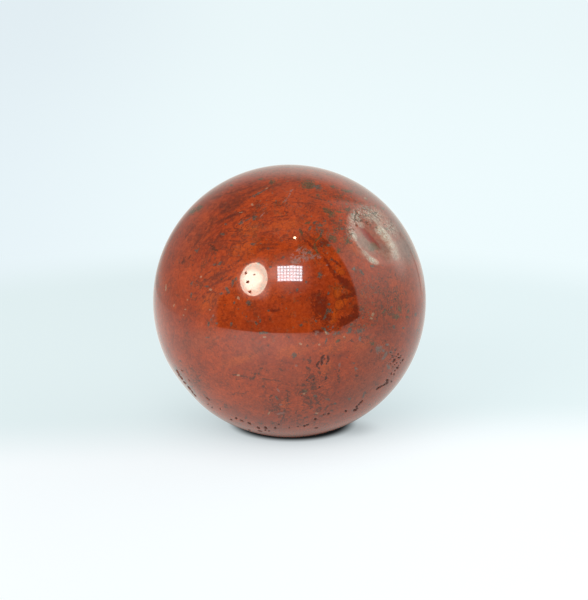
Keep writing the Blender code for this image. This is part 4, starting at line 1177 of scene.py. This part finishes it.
# The light patches on the floor that the stone mirrors: place, inner and outer reach, light, light far off.
FRONT_LEFT_PATCH = ((-0.045, -0.125, 0), 0.030, 0.118, 0.76, 0)
FRONT_RIGHT_PATCH = ((0.095, -0.095, 0), 0.020, 0.080, 0.27, 0)
BACKDROP = (0.862, 0.968, 0.990, 1)
BACKDROP_LEFT = (0.795, 0.890, 0.935, 1)
BACKDROP_ACROSS = (-0.105, -0.005)
BACKDROP_BACK = (0.20, 0.55, 1.0, 0.96)
WALL_WHITE = (1.0, 1.0, 0.93, 1)
LAMP_DISTANCE = 1.0
LAMP_PLACE = (-33.9, 29.9)
LAMP_LEAN = math.radians(12)
LAMP_HALF_ANGLES = (11.4, 13.3)
LAMP_COLOUR = (0.88, 1.0, 0.84)
LAMP_RIM = 11.6
LAMP_CORE = 21.0
LAMP_CORE_SHIFT = (-1.2, -0.6)
LAMP_CORE_REACH = (0.45, 0.85)
LAMP_MOTTLE_SIZE = 0.09
PANEL_PLACE = (0.4, 37.6)
PANEL_ANGLES = (20.0, 13.0)
PANEL_CELLS = (8, 5)
PANEL_CELL_SHARE = 0.66
PANEL_CELL_LIGHT = 23.0
PANEL_GAP_LIGHT = 8.5
PANEL_SHEET_BEHIND = 0.002
PANEL_COLOUR = (0.80, 0.93, 1.0)
SMALL_LAMP_PLACE = (10.2, 68.3)
SMALL_LAMP_HALF_ANGLE = 1.1
SMALL_LAMP_LIGHT = 60.0
SMALL_LAMP_COLOUR = (1.0, 0.72, 0.40)
KEY_COLOUR = (1.0, 0.96, 0.90)
KEY_RADIANCE = 9.1
KEY_HALF_ANGLE = 13.1
PANEL_KEY_HALF_ANGLE = 9.0
OVERHEAD_PLACE = (-20, 76)
OVERHEAD_RADIANCE = 2.6
OVERHEAD_HALF_ANGLE = 16.0

# The room's light changes in steps: from one angle to another, and the light or its share at each of them.
# Those named UP follow the elevation, and those named ALONG the azimuth.
OVERHEAD_LIGHT = 0.27
NEAR_TABLE_LIGHT = 0.78
CORNER_AZIMUTH = 147.5
RIGHT_WALL_UP = (-9, 26, 0.80, 1.50)
RIGHT_WALL_TOP_UP = (28, 70)
RIGHT_WALL_ALONG = (60, 84, 0.82, 1.0)
BACK_WALL_UP = (22, 45, 0.90, 0.30)
LEFT_WALL_UP = (6, 50, 0.43, 0.21)
LEFT_WALL_ALONG = (-112, -84, 0.88, 1.08)
LEFT_WALL_FOOT_UP = (-2, -9.5, 0, 0.17)
ROOM_ALONG = (-40, 40, 0.05, 0.025)
ROOM_TOP_UP = (62, 73)
NEAR_TABLE_EDGE_ALONG = (43, 61, 0, 5.5, "LINEAR")
NEAR_TABLE_UP = (-8.8, -9.8)
NEAR_TABLE_ALONG = (42, 45)
RIGHT_EDGE_ALONG = (58.4, 61.4)
LEFT_EDGE_UP = (9, 17, 0, 9.5)
LEFT_EDGE_ALONG = (-60.5, -64.5)
BACK_RIGHT_ALONG = (137.5, 145.5)
BACK_LEFT_ALONG = (-152, -177, 0, 0.85)
CORNER_ALONG = (0.6, 2.6, 0.40, 0)
CORNER_UP = (9, 15, 1, 0)
# Light that fades out round a place: the place, the angles where it starts and stops fading, its light.
RIGHT_WALL_HALOS = [((102, 35), 2, 12, -0.6), ((120, 16), 3, 16, 1.0), ((112, 28), 2, 15, 0.5)]
ROOM_HALOS = [
    (LAMP_PLACE, 12, 18, 0.9), ((-24, 21), 0, 9, 1.4), (PANEL_PLACE, 9, 22, 0.5),
    ((-13, 38), 3, 9, 1.4), ((-33, 44), 1, 7, 0.7),
]


def direction(azimuth, elevation):
    azimuth, elevation = math.radians(azimuth), math.radians(elevation)
    level = math.cos(elevation)
    return np.array((math.sin(azimuth) * level, -math.cos(azimuth) * level, math.sin(elevation)))


def emitting_material(name, light, colour):
    """A material that only gives light, and its emission node."""
    material = bpy.data.materials.new(name)
    material.use_nodes = True
    tree = material.node_tree
    tree.nodes.clear()
    output = tree.nodes.new("ShaderNodeOutputMaterial")
    emission = tree.nodes.new("ShaderNodeEmission")
    emission.inputs["Color"].default_value = (*colour, 1)
    emission.inputs["Strength"].default_value = light
    tree.links.new(emission.outputs[0], output.inputs["Surface"])
    return material, emission


def only_reflected(obj):
    """Lets a lamp show in reflections alone. Its light on the stone comes from the soft lights."""
    obj.visible_camera = False
    obj.visible_diffuse = False
    obj.visible_shadow = False
    obj.visible_transmission = False
    obj.visible_volume_scatter = False


def card(name, place, outline, faces, material):
    """A flat lamp at a place seen from the ball's middle. Its outline is in radians right and up."""
    out = direction(*place)
    right = np.cross((0, 0, 1), -out)
    right = -right / np.linalg.norm(right)
    up = np.cross(out, right)
    if up[2] < 0:
        up = -up
    middle = np.array((0, 0, MIDDLE_HEIGHT)) + out * LAMP_DISTANCE
    points = [middle + (right * x + up * y) * LAMP_DISTANCE for x, y in outline]
    mesh = bpy.data.meshes.new(name)
    mesh.from_pydata([tuple(point) for point in points], [], faces)
    mesh.materials.append(material)
    lamp = bpy.data.objects.new(name, mesh)
    bpy.context.scene.collection.objects.link(lamp)
    only_reflected(lamp)
    return lamp


def oval_outline(half_width, half_height, corners=64):
    turns = [2 * math.pi * step / corners for step in range(corners)]
    return [(half_width * math.cos(turn), half_height * math.sin(turn)) for turn in turns]


def make_round_lamp():
    half_width, half_height = (math.tan(math.radians(angle)) for angle in LAMP_HALF_ANGLES)
    material, emission = emitting_material("lamp_glow", LAMP_RIM, LAMP_COLOUR)
    paint = Painter(material.node_tree)
    spot = paint.node("ShaderNodeNewGeometry").outputs["Position"]
    azimuth, elevation = (place + shift for place, shift in zip(LAMP_PLACE, LAMP_CORE_SHIFT))
    bright = direction(azimuth, elevation) * LAMP_DISTANCE
    away = paint.measure("DISTANCE", spot, (bright[0], bright[1], bright[2] + MIDDLE_HEIGHT))
    mottle = paint.less(paint.noise(spot, LAMP_MOTTLE_SIZE, 3.0, 0.6), 0.5)
    reach = paint.sum(away, paint.product(mottle, 0.5 * half_width))
    inner, outer = (half_width * share for share in LAMP_CORE_REACH)
    glow = paint.range(reach, inner, outer, LAMP_CORE, LAMP_RIM)
    paint.feed(emission.inputs["Strength"], glow)
    upright = oval_outline(half_width, half_height)
    lean_x, lean_y = math.cos(LAMP_LEAN), math.sin(LAMP_LEAN)
    outline = [(x * lean_x - y * lean_y, x * lean_y + y * lean_x) for x, y in upright]
    card("round_lamp", LAMP_PLACE, outline, [tuple(range(len(outline)))], material)


def make_panel_lamp():
    """A lamp of small square cells in rows, with its dimmer sheet behind them."""
    width, height = (2 * math.tan(math.radians(angle / 2)) for angle in PANEL_ANGLES)
    columns, rows = PANEL_CELLS
    outline, faces = [], []
    for column in range(columns):
        for row in range(rows):
            x = (column + 0.5) * width / columns - width / 2
            y = (row + 0.5) * height / rows - height / 2
            half_x = width / columns * PANEL_CELL_SHARE / 2
            half_y = height / rows * PANEL_CELL_SHARE / 2
            first = len(outline)
            outline += [(x - half_x, y - half_y), (x + half_x, y - half_y)]
            outline += [(x + half_x, y + half_y), (x - half_x, y + half_y)]
            faces.append((first, first + 1, first + 2, first + 3))
    cells_light, _ = emitting_material("panel_light", PANEL_CELL_LIGHT, PANEL_COLOUR)
    card("panel_cells", PANEL_PLACE, outline, faces, cells_light)
    half_x, half_y = width / 2, height / 2
    edge = [(-half_x, -half_y), (half_x, -half_y), (half_x, half_y), (-half_x, half_y)]
    gaps_light, _ = emitting_material("panel_gap_light", PANEL_GAP_LIGHT, PANEL_COLOUR)
    sheet = card("panel_sheet", PANEL_PLACE, edge, [(0, 1, 2, 3)], gaps_light)
    sheet.location = tuple(direction(*PANEL_PLACE) * PANEL_SHEET_BEHIND)


def make_small_lamp():
    half = math.tan(math.radians(SMALL_LAMP_HALF_ANGLE))
    outline = oval_outline(half, half, 24)
    material, _ = emitting_material("small_lamp_light", SMALL_LAMP_LIGHT, SMALL_LAMP_COLOUR)
    card("small_lamp", SMALL_LAMP_PLACE, outline, [tuple(range(len(outline)))], material)


def make_soft_light(name, place, half_angle, radiance):
    """A round soft light of this radiance. It shines on the stone and the table, and isn't seen."""
    radius = LAMP_DISTANCE * math.tan(math.radians(half_angle))
    data = bpy.data.lights.new(name, "AREA")
    data.shape = "DISK"
    data.size = 2 * radius
    data.color = KEY_COLOUR
    data.energy = radiance * math.pi * math.pi * radius**2
    light = bpy.data.objects.new(name, data)
    out = direction(*place)
    light.location = tuple(out * LAMP_DISTANCE + np.array((0, 0, MIDDLE_HEIGHT)))
    light.rotation_euler = (math.pi / 2 - math.radians(place[1]), 0, math.radians(place[0]))
    bpy.context.scene.collection.objects.link(light)
    light.visible_camera = False
    light.visible_glossy = False


def disc_mesh(name, radius_in, radius_out, corners=160):
    """A level ring on the table, or a whole disc where the inner radius is 0."""
    turns = [2 * math.pi * step / corners for step in range(corners)]
    points = [(radius_out * math.cos(turn), radius_out * math.sin(turn), 0) for turn in turns]
    faces = [tuple(range(corners))]
    if radius_in:
        points += [(radius_in * math.cos(turn), radius_in * math.sin(turn), 0) for turn in turns]
        faces = [(i, (i + 1) % corners, corners + (i + 1) % corners, corners + i) for i in range(corners)]
    mesh = bpy.data.meshes.new(name)
    mesh.from_pydata(points, [], faces)
    disc = bpy.data.objects.new(name, mesh)
    bpy.context.scene.collection.objects.link(disc)
    return disc


def open_share(paint, place, reach, core, rim):
    """The share of the room's light that the stone doesn't keep from each spot of the table, painted as the
    table's shadow.
    """
    away = paint.measure("DISTANCE", place, SHADE_MIDDLE)
    reaches = paint.math("DIVIDE", away, reach)
    kept = paint.math("POWER", paint.sum(paint.product(reaches, reaches), 1.0), -1.5)
    return paint.product(paint.less(1.0, kept), paint.range(away, core, rim, LEAST_OPEN, 1.0))


def backdrop_colour(paint, place):
    """The pale backdrop, a little darker far off and on the left."""
    across, back, _ = paint.parts(place)
    colour = paint.mix(paint.range(across, *BACKDROP_ACROSS), BACKDROP_LEFT, BACKDROP)
    return paint.scaled(colour, paint.range(back, *BACKDROP_BACK))


def light_patch(paint, place, middle, inner, outer, light, far_light):
    return paint.range(paint.measure("DISTANCE", place, middle), inner, outer, light, far_light)


def mirrored_glow(paint, place, across, away):
    """How bright the stone shows the table: most at the front left, and a little at the front right."""
    glow = paint.range(across, *MIRRORED_ACROSS)
    glow = paint.product(glow, paint.range(away, *MIRRORED_AWAY))
    glow = paint.product(glow, paint.range(across, *MIRRORED_LEFT))
    front_left = light_patch(paint, place, *FRONT_LEFT_PATCH)
    front_right = light_patch(paint, place, *FRONT_RIGHT_PATCH)
    return paint.sum(glow, paint.sum(front_left, front_right))


def table_material():
    """A white floor with painted light: brighter towards the front, a painted shadow right under the stone,
    fading into the backdrop.
    """
    material = bpy.data.materials.new("white_table")
    material.use_nodes = True
    tree = material.node_tree
    shader = tree.nodes["Principled BSDF"]
    shader.inputs["Roughness"].default_value = 1.0
    shader.inputs["Specular IOR Level"].default_value = 0.0
    paint = Painter(tree)
    place = paint.node("ShaderNodeTexCoord").outputs["Object"]
    across, back, _ = paint.parts(place)
    ray = paint.node("ShaderNodeLightPath").outputs

    away = paint.measure("LENGTH", place)
    slanted = paint.less(back, paint.product(across, FLOOR_SLANT))
    seen = paint.mix(paint.range(slanted, *FLOOR_TURN), FLOOR_SEEN_BACK, FLOOR_SEEN_FRONT)
    seen = paint.scaled(seen, paint.range(across, *FLOOR_ACROSS))
    mirrored = paint.scaled(MIRRORED_TINT, mirrored_glow(paint, place, across, away))
    glow = paint.mix(ray["Is Diffuse Ray"], paint.mix(ray["Is Glossy Ray"], seen, mirrored), FLOOR_SPREAD)
    paint.feed(shader.inputs["Emission Color"], glow)
    # Painted shadows: round the stone's foot, and a weaker one at its right. They darken the table's white
    # and its glow.
    right_shade = paint.range(paint.measure("DISTANCE", place, RIGHT_SHADE_MIDDLE), *RIGHT_SHADE)
    open_seen = paint.product(open_share(paint, place, *SEEN_SHADE), right_shade)
    open_mirrored = open_share(paint, place, *MIRRORED_SHADE)
    paint.feed(shader.inputs["Base Color"], paint.scaled(FLOOR_WHITE, open_seen))
    strength = paint.blend(ray["Is Glossy Ray"], open_seen, open_mirrored)
    paint.feed(shader.inputs["Emission Strength"], strength)

    far = paint.range(away, *FLOOR_FADE)
    blank = paint.node("ShaderNodeEmission")
    paint.feed(blank.inputs["Color"], backdrop_colour(paint, place))
    faded = paint.node("ShaderNodeMixShader")
    paint.feed(faded.inputs[0], paint.product(far, ray["Is Camera Ray"]))
    tree.links.new(shader.outputs[0], faded.inputs[1])
    tree.links.new(blank.outputs[0], faded.inputs[2])
    tree.links.new(faded.outputs[0], tree.nodes["Material Output"].inputs["Surface"])
    return material


def make_table():
    table = disc_mesh("table", 0, FLOOR_REACH)
    table.data.materials.append(table_material())
    outer = disc_mesh("table_beyond", FLOOR_REACH, OUTER_REACH)
    pale, emission = emitting_material("pale_beyond", 1.0, BACKDROP[:3])
    paint = Painter(pale.node_tree)
    place = paint.node("ShaderNodeTexCoord").outputs["Object"]
    paint.feed(emission.inputs["Color"], backdrop_colour(paint, place))
    outer.data.materials.append(pale)
    outer.visible_glossy = False
    outer.visible_diffuse = False
    outer.visible_shadow = False


def degrees(paint, radians):
    return paint.product(radians, 180 / math.pi)


def with_halos(paint, light, sight, halos):
    """The light with the light of some halos added to it."""
    for place, inner, outer, most in halos:
        near = paint.measure("DOT_PRODUCT", sight, tuple(direction(*place)))
        angle = degrees(paint, paint.math("ARCCOSINE", near))
        light = paint.sum(light, paint.range(angle, inner, outer, most, 0.0))
    return light


def make_room():
    """The light from round the stone: a white tent, open to a dark room at the front."""
    world = bpy.data.worlds.new("studio")
    bpy.context.scene.world = world
    world.use_nodes = True
    tree = world.node_tree
    tree.nodes.clear()
    paint = Painter(tree)
    sight = paint.node("ShaderNodeTexCoord").outputs["Generated"]
    across, back, up = paint.parts(sight)
    azimuth = degrees(paint, paint.math("ARCTAN2", across, paint.product(back, -1)))
    elevation = degrees(paint, paint.math("ARCSINE", up))

    right_wall = paint.range(elevation, *RIGHT_WALL_UP)
    right_wall = paint.blend(paint.range(elevation, *RIGHT_WALL_TOP_UP), right_wall, OVERHEAD_LIGHT)
    right_wall = paint.product(right_wall, paint.range(azimuth, *RIGHT_WALL_ALONG))
    right_wall = with_halos(paint, right_wall, sight, RIGHT_WALL_HALOS)
    back_wall = paint.range(elevation, *BACK_WALL_UP)
    left_wall = paint.range(elevation, *LEFT_WALL_UP)
    left_wall = paint.product(left_wall, paint.range(azimuth, *LEFT_WALL_ALONG))
    left_wall = paint.sum(left_wall, paint.range(elevation, *LEFT_WALL_FOOT_UP))
    room = paint.range(azimuth, *ROOM_ALONG)
    room = with_halos(paint, room, sight, ROOM_HALOS)
    room = paint.blend(paint.range(elevation, *ROOM_TOP_UP), room, OVERHEAD_LIGHT)
    low_edge = paint.less(elevation, paint.range(azimuth, *NEAR_TABLE_EDGE_ALONG))
    near_table = paint.range(low_edge, *NEAR_TABLE_UP)
    near_table = paint.product(near_table, paint.range(azimuth, *NEAR_TABLE_ALONG))
    room = paint.blend(near_table, room, NEAR_TABLE_LIGHT)
    light = paint.blend(paint.range(azimuth, *RIGHT_EDGE_ALONG), room, right_wall)
    left_edge = paint.less(azimuth, paint.range(elevation, *LEFT_EDGE_UP))
    light = paint.blend(paint.range(left_edge, *LEFT_EDGE_ALONG), light, left_wall)
    light = paint.blend(paint.range(azimuth, *BACK_RIGHT_ALONG), light, back_wall)
    light = paint.blend(paint.range(azimuth, *BACK_LEFT_ALONG), light, back_wall)
    from_corner = paint.math("ABSOLUTE", paint.less(azimuth, CORNER_AZIMUTH))
    corner = paint.product(paint.range(from_corner, *CORNER_ALONG), paint.range(elevation, *CORNER_UP))
    light = paint.less(light, corner)
    background = paint.node("ShaderNodeBackground")
    background.inputs["Color"].default_value = WALL_WHITE
    paint.feed(background.inputs["Strength"], light)

    backdrop = paint.node("ShaderNodeBackground")
    backdrop.inputs["Color"].default_value = BACKDROP
    seen = paint.node("ShaderNodeLightPath").outputs["Is Camera Ray"]
    choice = paint.node("ShaderNodeMixShader")
    paint.feed(choice.inputs[0], seen)
    tree.links.new(background.outputs[0], choice.inputs[1])
    tree.links.new(backdrop.outputs[0], choice.inputs[2])
    output = paint.node("ShaderNodeOutputWorld")
    tree.links.new(choice.outputs[0], output.inputs["Surface"])


def make_camera():
    data = bpy.data.cameras.new("camera")
    data.lens = LENS
    data.sensor_fit = "AUTO"
    data.sensor_width = SENSOR
    data.clip_start = 0.01
    data.clip_end = CLIP_END
    camera = bpy.data.objects.new("camera", data)
    aim = FRONT.right * AIM_RIGHT + FRONT.up * AIM_UP
    camera.location = tuple(FRONT.toward * EYE_DISTANCE + aim + np.array((0, 0, MIDDLE_HEIGHT)))
    camera.rotation_euler = (math.pi / 2 - EYE_TILT, 0, 0)
    bpy.context.scene.collection.objects.link(camera)
    bpy.context.scene.camera = camera


make_camera()
bpy.context.scene.view_settings.view_transform = "Standard"
make_room()
make_table()
make_round_lamp()
make_panel_lamp()
make_small_lamp()
make_soft_light("key_light", LAMP_PLACE, KEY_HALF_ANGLE, KEY_RADIANCE)
make_soft_light("panel_key_light", PANEL_PLACE, PANEL_KEY_HALF_ANGLE, KEY_RADIANCE)
make_soft_light("overhead_light", OVERHEAD_PLACE, OVERHEAD_HALF_ANGLE, OVERHEAD_RADIANCE)

stone = make_stone()
stone.data.materials.append(jasper_material())
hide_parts("jasper_sphere")
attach(stone, "root")
